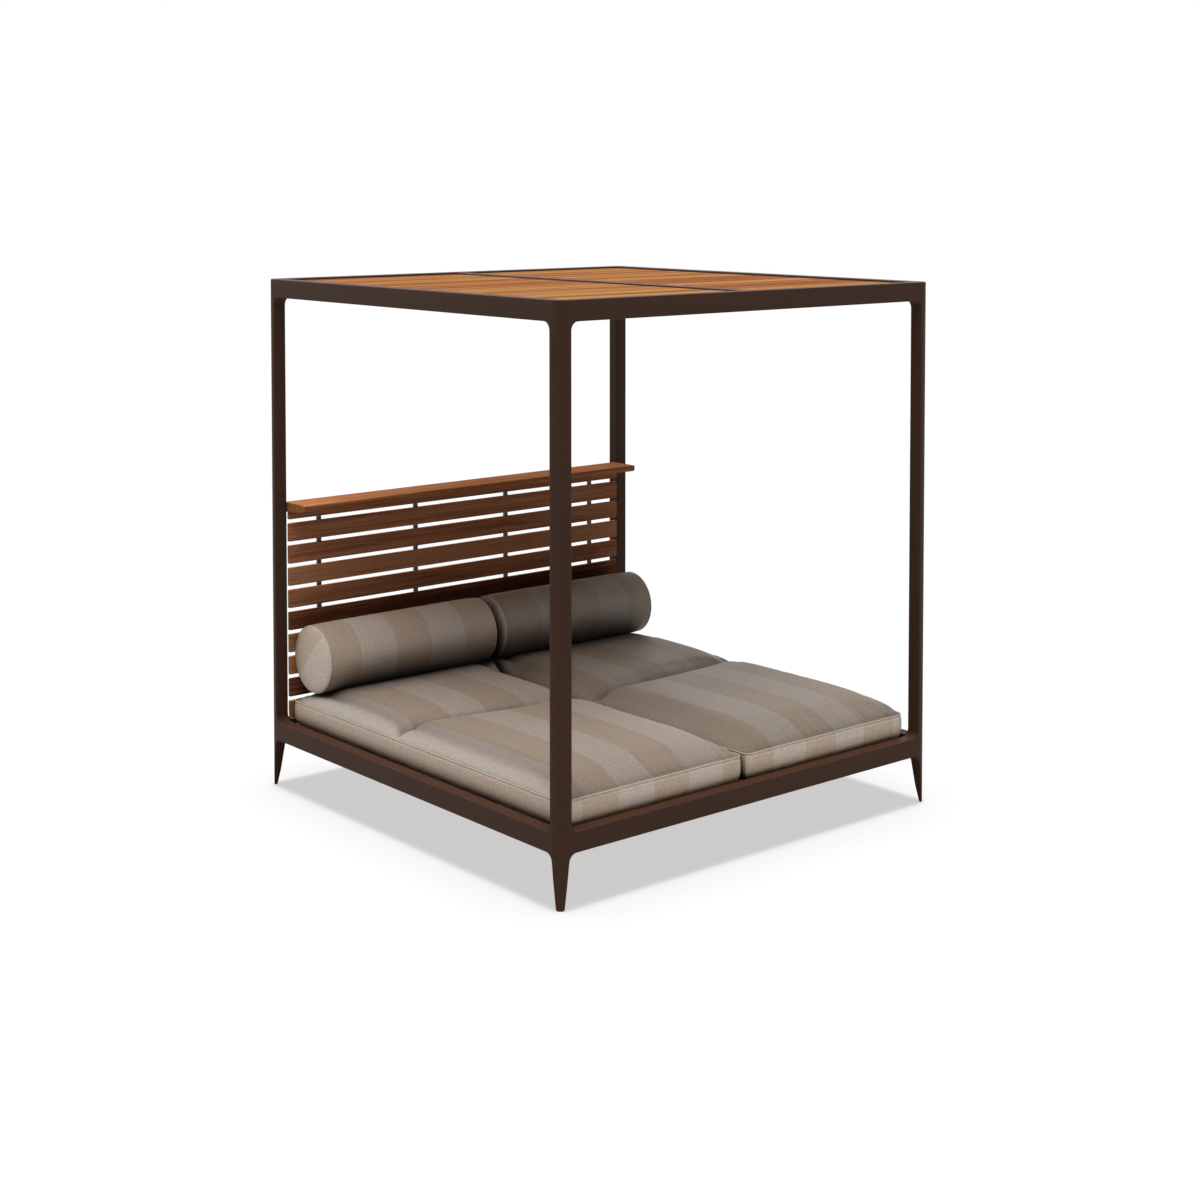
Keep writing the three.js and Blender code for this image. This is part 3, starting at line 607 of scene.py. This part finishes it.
mattressSize = {
    "bottom": 0.2626,
    "seam": 0.3723,
    "rise": 0.0805,
    "outerReach": 0.025,
    "innerReach": 0.055,
    "endReach": 0.085,
    "bolsterEnd": (0.54, 0.14, 0.92),  # where the inner edge gets fuller: y, over which length, how much
    "pressBlend": 0.006,  # rounds the edge of the hollow under the bolster
    "cornerRadius": 0.034,
    "foldDrop": 0.030,
    "foldReach": 0.095,
    "tuckDrop": 0.030,
    "tuckReach": 0.018,
    "tuckPower": 1.3,
    "unevenness": 0.0012,
    "sideGroove": (0.058, 0.028, 0.0165),  # the dip behind the rolled edge: place, width, depth
    "endGroove": (0.034, 0.020, 0.0100),
    "sideShade": (0.070, 0.034, 0.36),  # painted shade in the dip behind the side seam: place, width, darkness
    "endShade": (0.007, 0.028, 0.50),  # painted shade in the dip behind the front and back seams
    "shadeStart": 0.3,  # as a share of the end shade's place
    "darkest": 0.55,
    "pucker": 0.0009,
    "puckerReach": 0.020,
    "puckerStart": 0.006,
    "endRipples": (0.027, 0.041, 0.019),  # lengths of the little waves
    "sideRipples": (0.031, 0.046, 0.021),
    "boxingRipples": (0.033, 0.052, 0.023),
    "fan": 0.0012,
    "fanReach": 0.060,
    "fanLean": 0.25,
    "fanRipples": (0.071, 0.113, 0.052),
    "edgeBand": 0.07,  # where the rows and columns crowd together
    "edgeColumns": 12,
    "edgeRows": 16,
    "spacing": 0.011,
}

boxing = {  # the mattress's upright side; shares run from 0 at the seam to 1 at the bottom
    "rings": 20,
    "crowding": 1.5,  # rings closer together by the seam
    "dropPower": 0.95,
    "swell": 0.004,
    "swellEnd": 0.75,
    "swellPower": 0.8,
    "rollUnder": 0.022,
    "rollStart": 0.66,
    "rollPower": 2.2,
    "seamGroove": (0.045, 0.035, 0.0022),  # place and width as shares, depth
    "puckerStart": 0.05,
    "puckerFade": 0.2,
    "endTurn": 0.75,  # how far sideways a part looks that belongs to the sides
}

sewing = {
    "weltRadius": 0.0017,
    "weltSides": 10,
    "weltOut": 0.0006,
    "weltRise": 0.0004,
    "cornerWeltRadius": 0.0011,
    "cornerWeltSides": 8,
    "frontDepth": 0.02,  # what lies this near to the front edge belongs to the front
    "cornerWeltPlace": 0.020,  # from the corner, on the front
    "cornerWeltShares": (0.03, 0.62),  # where it starts below the seam, and its length
    "cornerWeltSteps": 18,
    "stitchInset": 0.026,  # from each corner
    "stitchPitch": 0.0096,
    "stitchLength": 0.0080,
    "stitchRadius": 0.0018,  # drawn coarser than the real thread so that it shows
    "stitchRows": (0.0050, 0.0140),  # below the top seam
    "stitchRise": 0.0042,
    "stitchSides": 6,
}

bolsterSize = {
    "radius": 0.148,
    "axis": (0.7862, 0.5723),  # y and z
    "dome": 0.024,
    "domeSteps": 14,
    "pastEnd": 0.002,  # how far each dome reaches past its solid
    "endRadius": 0.143,
    "taper": 0.05,
    "taperRate": 1.6,
    "gap": 0.001,
    "gather": 0.0011,  # the little folds that run from each welt
    "gatherReach": 0.035,
    "gatherStart": 0.006,
    "gatherCounts": (19, 3, 31),  # folds round the bolster, how often they swell, and a finer set
    "domeGather": 0.4,
    "edgeBand": 0.08,
    "edgeStations": 10,
    "spacing": 0.014,
    "around": 96,
    "weltRadius": 0.0017,
    "weltSides": 10,
    "weltSteps": 120,
    "endStripe": (0, 0.755, 0.656),  # across the slanted stripe of the end discs
    "endStripeEdge": 0.006,
    "endCloth": 0.3,  # wider than half an end disc
}

# painted shade: the right mattress's cloth is a darker copy than the left's
mattresses = {
    "left": {
        "gain": 0.78,
        "fold": (0.130, 0.042),  # y of the fold at the left edge and at the right edge
        "stripes": [(-1, "light"), (-0.840, "taupe"), (-0.662, "light"), (-0.486, "taupe"), (-0.310, "light"),
                    (-0.130, "taupe")]},
    "right": {
        "gain": 0.66,
        "fold": (0.042, 0.070),
        "stripes": [(-0.1, "taupe"), (0.149, "light"), (0.331, "taupe"), (0.507, "light"), (0.675, "taupe"),
                    (0.854, "light")]},
}


def wave(x, y, seed):  # slow unevenness of the filling, from -1 to 1
    total = 0
    for step in range(5):
        angle = seed * 1.7 + step * 2.399
        stretch = 7 + 3.1 * step
        total = total + np.sin(stretch * (x * np.cos(angle) + y * np.sin(angle)) + seed + 1.3 * step)
    return total / 5


def ripples(place, seed, lengths):  # uneven little waves along a line, from -1 to 1
    total = 0
    for step, length in enumerate(lengths):
        total = total + np.sin(2 * math.pi * place / length + seed * (1.3 + step)) * (
            0.6 + 0.4 * np.sin(2 * math.pi * place / (length * 5.3) + seed + 2 * step))
    return total / len(lengths)


def foldPlace(x, span):
    share = np.clip((x - span["left"]) / (span["right"] - span["left"]), 0, 1)
    outer, inner = span["fold"]
    return outer + (inner - outer) * (3 * share ** 2 - 2 * share ** 3)


def fromSides(x, span):  # distances from the mattress's outer side and from the parting in the middle
    fromLeft, fromRight = x - span["left"], span["right"] - x
    return (fromLeft, fromRight) if span["left"] + span["right"] < 0 else (fromRight, fromLeft)


def topHeight(x, y, span, seed):
    size = mattressSize
    outer, inner = fromSides(x, span)
    fromSide = np.minimum(outer, inner)
    fromEnd = np.minimum(y - span["front"], span["back"] - y)
    start, length, fuller = size["bolsterEnd"]
    nearBolster = np.clip((y - start) / length, 0, 1)
    nearBolster = nearBolster ** 2 * (3 - 2 * nearBolster)
    tighter = 1 - fuller * nearBolster  # so that no gap is left under the bolsters at the parting
    sides = 1 - np.exp(-np.maximum(outer, 0) / size["outerReach"])
    sides = sides * (1 - np.exp(-np.maximum(inner, 0) / (size["innerReach"] * tighter)))
    ends = 1 - np.exp(-np.maximum(fromEnd, 0) / size["endReach"])
    crown = sides * ends
    fold = np.abs(y - foldPlace(x, span))
    drop = size["foldDrop"] * np.exp(-fold / size["foldReach"])
    drop = drop + size["tuckDrop"] * np.exp(-(fold / size["tuckReach"]) ** size["tuckPower"])
    height = size["seam"] + (size["rise"] - drop) * crown + size["unevenness"] * wave(x, y, seed) * crown
    for distance, (place, width, depth) in ((fromSide, size["sideGroove"]), (fromEnd, size["endGroove"])):
        height = height - depth * np.exp(-((distance - place) / width) ** 2) * np.minimum(crown * 2, 1)
    alongEnds = size["pucker"] * ripples(x, seed, size["endRipples"])
    alongEnds = alongEnds * np.exp(-fromEnd / size["puckerReach"])
    alongSides = size["pucker"] * ripples(y, seed + 3, size["sideRipples"])
    alongSides = alongSides * np.exp(-fromSide / size["puckerReach"])
    fromSeam = np.minimum(fromSide, fromEnd)
    height = height + (alongEnds + alongSides) * np.minimum(fromSeam / size["puckerStart"], 1)
    pulled = ripples(x + size["fanLean"] * (y - foldPlace(x, span)), seed + 5, size["fanRipples"])
    height = height + size["fan"] * pulled * np.exp(-fold / size["fanReach"]) * crown
    pressed = bolsterSize["radius"] + bolsterSize["gap"]
    across = np.minimum(np.abs(y - bolsterSize["axis"][0]), pressed)
    under = bolsterSize["axis"][1] - np.sqrt(pressed ** 2 - across ** 2)
    soft = 0.5 * (height + under - np.sqrt((height - under) ** 2 + size["pressBlend"] ** 2))
    return np.minimum(soft, height)


def hollowShade(x, y, span, seed):  # painted shade: how much darker the cloth is made in the dips behind the seams
    size = mattressSize
    outer = fromSides(x, span)[0]
    fromEnd = np.minimum(y - span["front"], span["back"] - y)
    place, width, dark = size["sideShade"]
    sides = dark * np.exp(-((outer - place) / width) ** 2) * (0.85 + 0.15 * wave(x, y * 0.6, seed))
    place, reach, dark = size["endShade"]
    first = size["shadeStart"]
    ends = dark * np.clip((fromEnd - first * place) / ((1 - first) * place), 0, 1)
    ends = ends * np.exp(-np.maximum(fromEnd - place, 0) / reach)
    return np.clip(sides + ends * (0.85 + 0.15 * wave(x * 0.6, y, seed + 2)), 0, size["darkest"])


def boxingHeight(share):
    return mattressSize["bottom"] + (mattressSize["seam"] - mattressSize["bottom"]) * (
        1 - share ** boxing["dropPower"])


def boxingOut(share):  # how far the side stands out from the seam: it swells, then rolls under
    swell = boxing["swell"] * math.sin(math.pi * min(share / boxing["swellEnd"], 1)) ** boxing["swellPower"]
    past = max(0, (share - boxing["rollStart"]) / (1 - boxing["rollStart"]))
    return swell - boxing["rollUnder"] * past ** boxing["rollPower"]


def seamDip(share):  # how deep the seam pulls the side in
    place, width, depth = boxing["seamGroove"]
    return depth * math.exp(-((share - place) / width) ** 2)


def roundedPlan(x, y, span, radius):  # turns each corner's square into a quarter circle
    x, y = x.copy(), y.copy()
    for sideX, edgeX in ((-1, span["left"]), (1, span["right"])):
        for sideY, edgeY in ((-1, span["front"]), (1, span["back"])):
            u = (x - (edgeX - sideX * radius)) * sideX / radius
            v = (y - (edgeY - sideY * radius)) * sideY / radius
            inside = (u > 0) & (v > 0)
            roundU = u * np.sqrt(np.maximum(1 - v ** 2 / 2, 0))
            roundV = v * np.sqrt(np.maximum(1 - u ** 2 / 2, 0))
            x = np.where(inside, edgeX - sideX * radius + roundU * sideX * radius, x)
            y = np.where(inside, edgeY - sideY * radius + roundV * sideY * radius, y)
    return x, y


def outwards(ring):  # the plan's outward direction at each point of a ring that runs anticlockwise
    ahead = np.roll(ring, -1, axis=0) - np.roll(ring, 1, axis=0)
    normal = np.stack([ahead[:, 1], -ahead[:, 0]], axis=1)
    return normal / np.linalg.norm(normal, axis=1, keepdims=True)


def tube(path, radius, sides, closed):  # a round cord along a path, with capped ends where it is open
    path = np.array(path)
    if closed:
        ahead = np.roll(path, -1, axis=0) - np.roll(path, 1, axis=0)
    else:
        ahead = np.gradient(path, axis=0)
    ahead = ahead / np.linalg.norm(ahead, axis=1, keepdims=True)
    aside = np.eye(3)[np.argmin(np.abs(ahead).max(axis=0))]  # the axis that the path never runs along
    across = np.cross(ahead, aside)
    across = across / np.linalg.norm(across, axis=1, keepdims=True)
    upwards = np.cross(across, ahead)
    points = []
    for place, first, second in zip(path, across, upwards):
        for step in range(sides):
            turn = 2 * math.pi * step / sides
            points.append(place + radius * (math.cos(turn) * first + math.sin(turn) * second))
    faces = []
    count = len(path)
    for ring in range(count if closed else count - 1):
        following = (ring + 1) % count
        for step in range(sides):
            beside = (step + 1) % sides
            faces.append((ring * sides + step, following * sides + step,
                          following * sides + beside, ring * sides + beside))
    if not closed:
        faces.append(tuple(range(sides)))
        faces.append(tuple((count - 1) * sides + step for step in reversed(range(sides))))
    return points, faces


def joinParts(parts):  # several lists of points and faces as one
    points, faces = [], []
    for partPoints, partFaces in parts:
        start = len(points)
        points.extend(partPoints)
        faces.extend(tuple(place + start for place in face) for face in partFaces)
    return points, faces


def stitch(middle, along, outward):  # one slanted stitch, pointed at both ends
    reach, radius, sides = sewing["stitchLength"] / 2, sewing["stitchRadius"], sewing["stitchSides"]
    rise = np.array([0, 0, sewing["stitchRise"] / 2])
    stations = [  # place along the stitch, thickness, lift from the cloth
        (-1.0, 0.15, -0.9), (-0.7, 0.75, -0.2), (0.0, 1.0, 0.25), (0.7, 0.75, -0.2), (1.0, 0.15, -0.9)]
    upwards = np.array([0, 0, 1.0])
    points = []
    for place, thickness, lift in stations:
        centre = middle + along * reach * place + rise * place + outward * radius * lift
        for step in range(sides):
            turn = 2 * math.pi * step / sides
            points.append(centre + radius * thickness * (math.cos(turn) * outward + math.sin(turn) * upwards))
    faces = []
    for ring in range(len(stations) - 1):
        for step in range(sides):
            beside = (step + 1) % sides
            faces.append((ring * sides + step, ring * sides + beside,
                          (ring + 1) * sides + beside, (ring + 1) * sides + step))
    faces.append(tuple(reversed(range(sides))))
    faces.append(tuple((len(stations) - 1) * sides + step for step in range(sides)))
    return points, faces


def sewEdges(side, ring, direction, heights, span):
    body = "mattress_" + side
    welting = plainFabric("woven outdoor fabric, welt of mattress " + side, "sewing", fabric["weltCrease"])
    seam = np.column_stack([ring + direction * sewing["weltOut"], np.array(heights) + sewing["weltRise"]])
    welt = tube(seam, sewing["weltRadius"], sewing["weltSides"], True)
    newPiece("mattressWelt_" + side, *welt, [welting], None, body, "mattress_fabric")

    front = span["front"]
    corners = []
    start, length = sewing["cornerWeltShares"]
    for place in (span["left"] + sewing["cornerWeltPlace"], span["right"] - sewing["cornerWeltPlace"]):
        nearest = min((step for step in range(len(ring)) if ring[step][1] < front + sewing["frontDepth"]),
                      key=lambda step: abs(ring[step][0] - place))
        line = []
        for step in range(sewing["cornerWeltSteps"] + 1):
            share = start + length * step / sewing["cornerWeltSteps"]
            line.append((*(ring[nearest] + direction[nearest] * boxingOut(share)), boxingHeight(share)))
        corners.append(tube(line, sewing["cornerWeltRadius"], sewing["cornerWeltSides"], False))
    newPiece("mattressCornerSeams_" + side, *joinParts(corners), [welting], None, body, "mattress_fabric")

    stitches = []
    start, end = span["left"] + sewing["stitchInset"], span["right"] - sewing["stitchInset"]
    count = int((end - start) / sewing["stitchPitch"])
    for below in sewing["stitchRows"]:
        share = (below / (mattressSize["seam"] - mattressSize["bottom"])) ** (1 / boxing["dropPower"])
        out = boxingOut(share) - seamDip(share)
        for step in range(count):
            place = start + (end - start) * (step + 0.5) / count
            middle = np.array([place, front - out - sewing["stitchRadius"] * 0.5,
                               mattressSize["seam"] - below])
            stitches.append(stitch(middle, np.array([1.0, 0, 0]), np.array([0, -1.0, 0])))
    newPiece("mattressStitches_" + side, *joinParts(stitches), [welting], None, body, "mattress_fabric")


def evenly(places):  # one place more where their number is even, so that every second one reaches both ends
    if len(places) % 2:
        return places
    half = len(places) // 2
    return places[:half] + [(places[half - 1] + places[half]) / 2] + places[half:]


def buildMattress(side, spec, seed):
    size = mattressSize
    low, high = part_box("mattress_" + side)
    inset = boxing["swell"]
    span = {"left": low.x + inset, "right": high.x - inset, "front": low.y + inset, "back": high.y - inset,
            "fold": spec["fold"]}
    band, spacing = size["edgeBand"], size["spacing"]
    columns = evenly(closer(span["left"], span["right"], band, size["edgeColumns"], spacing))
    middleFold = sum(spec["fold"]) / 2
    frontRows = evenly(closer(span["front"], middleFold, band, size["edgeRows"], spacing))
    backRows = evenly(closer(middleFold, span["back"], band, size["edgeRows"], spacing))
    x, y = np.meshgrid(np.array(columns), np.array(frontRows + backRows[1:]))
    bend = foldPlace(x, span) - middleFold  # bends the rows so that they follow the fold
    near = np.where(y < middleFold, (y - span["front"]) / (middleFold - span["front"]),
                    (span["back"] - y) / (span["back"] - middleFold))
    y = y + bend * near
    planX, planY = roundedPlan(x, y, span, size["cornerRadius"])
    fromEdge = np.minimum(np.minimum(x - span["left"], span["right"] - x), y - span["front"])
    held = (fromEdge < settling["heldEdge"]) | (y > settling["heldBehind"])
    held = held | (np.abs(y - foldPlace(x, span)) < settling["heldFold"])
    grid = settleCover(np.stack([planX, planY, topHeight(x, y, span, seed)], axis=2), held)
    points = list(grid.reshape(-1, 3))
    faces = gridFaces(*x.shape)
    kinds = [0] * len(faces)  # 0 is the striped top, 1 the plain boxing, 2 the striped boxing

    index = np.arange(x.size).reshape(x.shape)
    rim = list(index[0, :-1]) + list(index[:-1, -1]) + list(index[-1, :0:-1]) + list(index[:0:-1, 0])
    ring = np.array([points[place][:2] for place in rim])
    rimHeights = [points[place][2] for place in rim]
    direction = outwards(ring)
    sideways = np.abs(direction[:, 0]) > boxing["endTurn"]
    around = np.concatenate([[0], np.cumsum(np.linalg.norm(np.diff(ring, axis=0), axis=1))])
    uneven = size["pucker"] * ripples(around, seed + 7, size["boxingRipples"])
    previous = rim
    for step in range(1, boxing["rings"] + 1):
        share = (step / boxing["rings"]) ** boxing["crowding"]
        gathers = uneven * math.exp(-share / boxing["puckerFade"]) * min(share / boxing["puckerStart"], 1)
        placed = ring + direction * (boxingOut(share) - seamDip(share) + gathers)[:, None]
        current = list(range(len(points), len(points) + len(placed)))
        points.extend(np.column_stack([placed, np.full(len(placed), boxingHeight(share))]))
        for place in range(len(rim)):
            following = (place + 1) % len(rim)
            faces.append((previous[place], current[place], current[following], previous[following]))
            kinds.append(1 if sideways[place] and sideways[following] else 2)
        previous = current
    faces.append(tuple(reversed(previous)))
    kinds.append(1)

    start, end = span["left"] - fabric["margin"], span["right"] + fabric["margin"]
    striped = wovenFabric("woven outdoor fabric, stripes of mattress " + side, spec["stripes"],
                          start, end, gain=spec["gain"])
    # painted light: the striped boxing is a lighter copy of the top's stripes
    ends = wovenFabric("woven outdoor fabric, striped boxing of mattress " + side, spec["stripes"],
                       start, end, gain=fabric["endLightGain"], crease=fabric["endCrease"])
    plain = plainFabric("woven outdoor fabric, boxing of mattress " + side, "boxing", fabric["boxingCrease"])
    piece = newPiece("mattressCover_" + side, points, faces, [striped, plain, ends], kinds,
                     "mattress_" + side, "mattress_fabric")
    shades = np.zeros(len(piece.data.vertices), dtype=np.float32)
    shades[:x.size] = hollowShade(x, y, span, seed).ravel()
    piece.data.attributes.new("hollowShade", "FLOAT", "POINT").data.foreach_set("value", shades)
    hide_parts("mattress_" + side)
    sewEdges(side, ring, direction, rimHeights, span)


# Bolsters

# painted shade: the right bolster's cloth is a darker copy than the left's
bolsters = {
    "left": {
        "gain": 0.9,
        "stripes": [(-1, "taupe"), (-0.760, "light"), (-0.578, "taupe"), (-0.393, "light"),
                    (-0.209, "taupe")]},
    "right": {
        "gain": 0.6,
        "stripes": [(-0.1, "taupe"), (0.223, "light"), (0.400, "taupe"), (0.577, "light"),
                    (0.754, "taupe")]},
}


def buildBolster(side, spec, seed):
    size = bolsterSize
    low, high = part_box("bolster_" + side)
    left = low.x + size["dome"] - size["pastEnd"]
    right = high.x - size["dome"] + size["pastEnd"]
    turns = [math.pi / 2 * step / size["domeSteps"] for step in range(size["domeSteps"])]
    dome = [(size["dome"] * math.cos(turn), size["endRadius"] * math.sin(turn)) for turn in turns]
    stations = [(left - reach, radius, 1) for reach, radius in dome]  # from the tip to the welt
    for place in closer(left, right, size["edgeBand"], size["edgeStations"], size["spacing"]):
        fromEnd = min(place - left, right - place)
        fade = math.exp(-fromEnd / size["taper"] * size["taperRate"])
        slimmer = (size["radius"] - size["endRadius"]) * fade
        stations.append((place, size["radius"] - slimmer, 0))
    stations += [(right + reach, radius, 1) for reach, radius in reversed(dome)]

    around = size["around"]
    coarse, swells, fine = size["gatherCounts"]
    points, faces, kinds = [], [], []  # kind 0 is the striped body, 1 an end disc
    axisY, axisZ = size["axis"]
    for place, radius, kind in stations[1:-1]:
        fromWelt = min(abs(place - left), abs(place - right))
        fade = math.exp(-fromWelt / size["gatherReach"]) * min(fromWelt / size["gatherStart"], 1)
        for step in range(around):
            angle = 2 * math.pi * step / around
            folds = math.sin(coarse * angle + seed) * (0.5 + 0.5 * math.sin(swells * angle + 2 * seed))
            folds = folds + 0.5 * math.sin(fine * angle + 3 * seed)
            full = radius + size["gather"] * folds * fade * (1 if kind == 0 else size["domeGather"])
            points.append((place, axisY + full * math.cos(angle), axisZ + full * math.sin(angle)))
    rings = len(stations) - 2
    for ring in range(rings - 1):
        for step in range(around):
            following = (step + 1) % around
            faces.append((ring * around + step, ring * around + following,
                          (ring + 1) * around + following, (ring + 1) * around + step))
            kinds.append(stations[ring + 1][2] if stations[ring + 1][2] == stations[ring + 2][2] else 0)
    for tip, ring, turned in ((stations[0], 0, True), (stations[-1], rings - 1, False)):
        points.append((tip[0], axisY, axisZ))
        middle = len(points) - 1
        for step in range(around):
            following = (step + 1) % around
            corner = (ring * around + step, ring * around + following)
            faces.append((middle, corner[1], corner[0]) if turned else (middle, corner[0], corner[1]))
            kinds.append(1)

    striped = wovenFabric("woven outdoor fabric, stripes of bolster " + side, spec["stripes"],
                          left - fabric["margin"], right + fabric["margin"], gain=spec["gain"],
                          crease=fabric["bolsterCrease"])
    across = Vector(size["endStripe"]).normalized()
    middle = across.dot(Vector((0, axisY, axisZ)))
    start, end = middle - size["endCloth"], middle + size["endCloth"]
    ends = wovenFabric("woven outdoor fabric, ends of bolster " + side,
                       [(start, "light"), (middle + size["endStripeEdge"], "taupe")], start, end, across)
    piece = newPiece("bolsterCover_" + side, points, faces, [striped, ends], kinds,
                     "bolster_" + side, "bolster_fabric")
    piece.data.flip_normals()
    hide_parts("bolster_" + side)

    welting = plainFabric("woven outdoor fabric, welt of bolster " + side, "sewing",
                          fabric["bolsterWeltCrease"])
    turns = [2 * math.pi * step / size["weltSteps"] for step in range(size["weltSteps"])]
    welts = []
    for place in (left, right):
        circle = [(place, axisY + size["endRadius"] * math.cos(turn),
                   axisZ + size["endRadius"] * math.sin(turn)) for turn in turns]
        welts.append(tube(circle, size["weltRadius"], size["weltSides"], True))
    newPiece("bolsterWelts_" + side, *joinParts(welts), [welting], None, "bolster_" + side, "bolster_fabric")


for order, (side, spec) in enumerate(mattresses.items()):
    buildMattress(side, spec, 1.0 + order)
print("mattresses made")
for order, (side, spec) in enumerate(bolsters.items()):
    buildBolster(side, spec, 5.0 + order)
print("bolsters made")
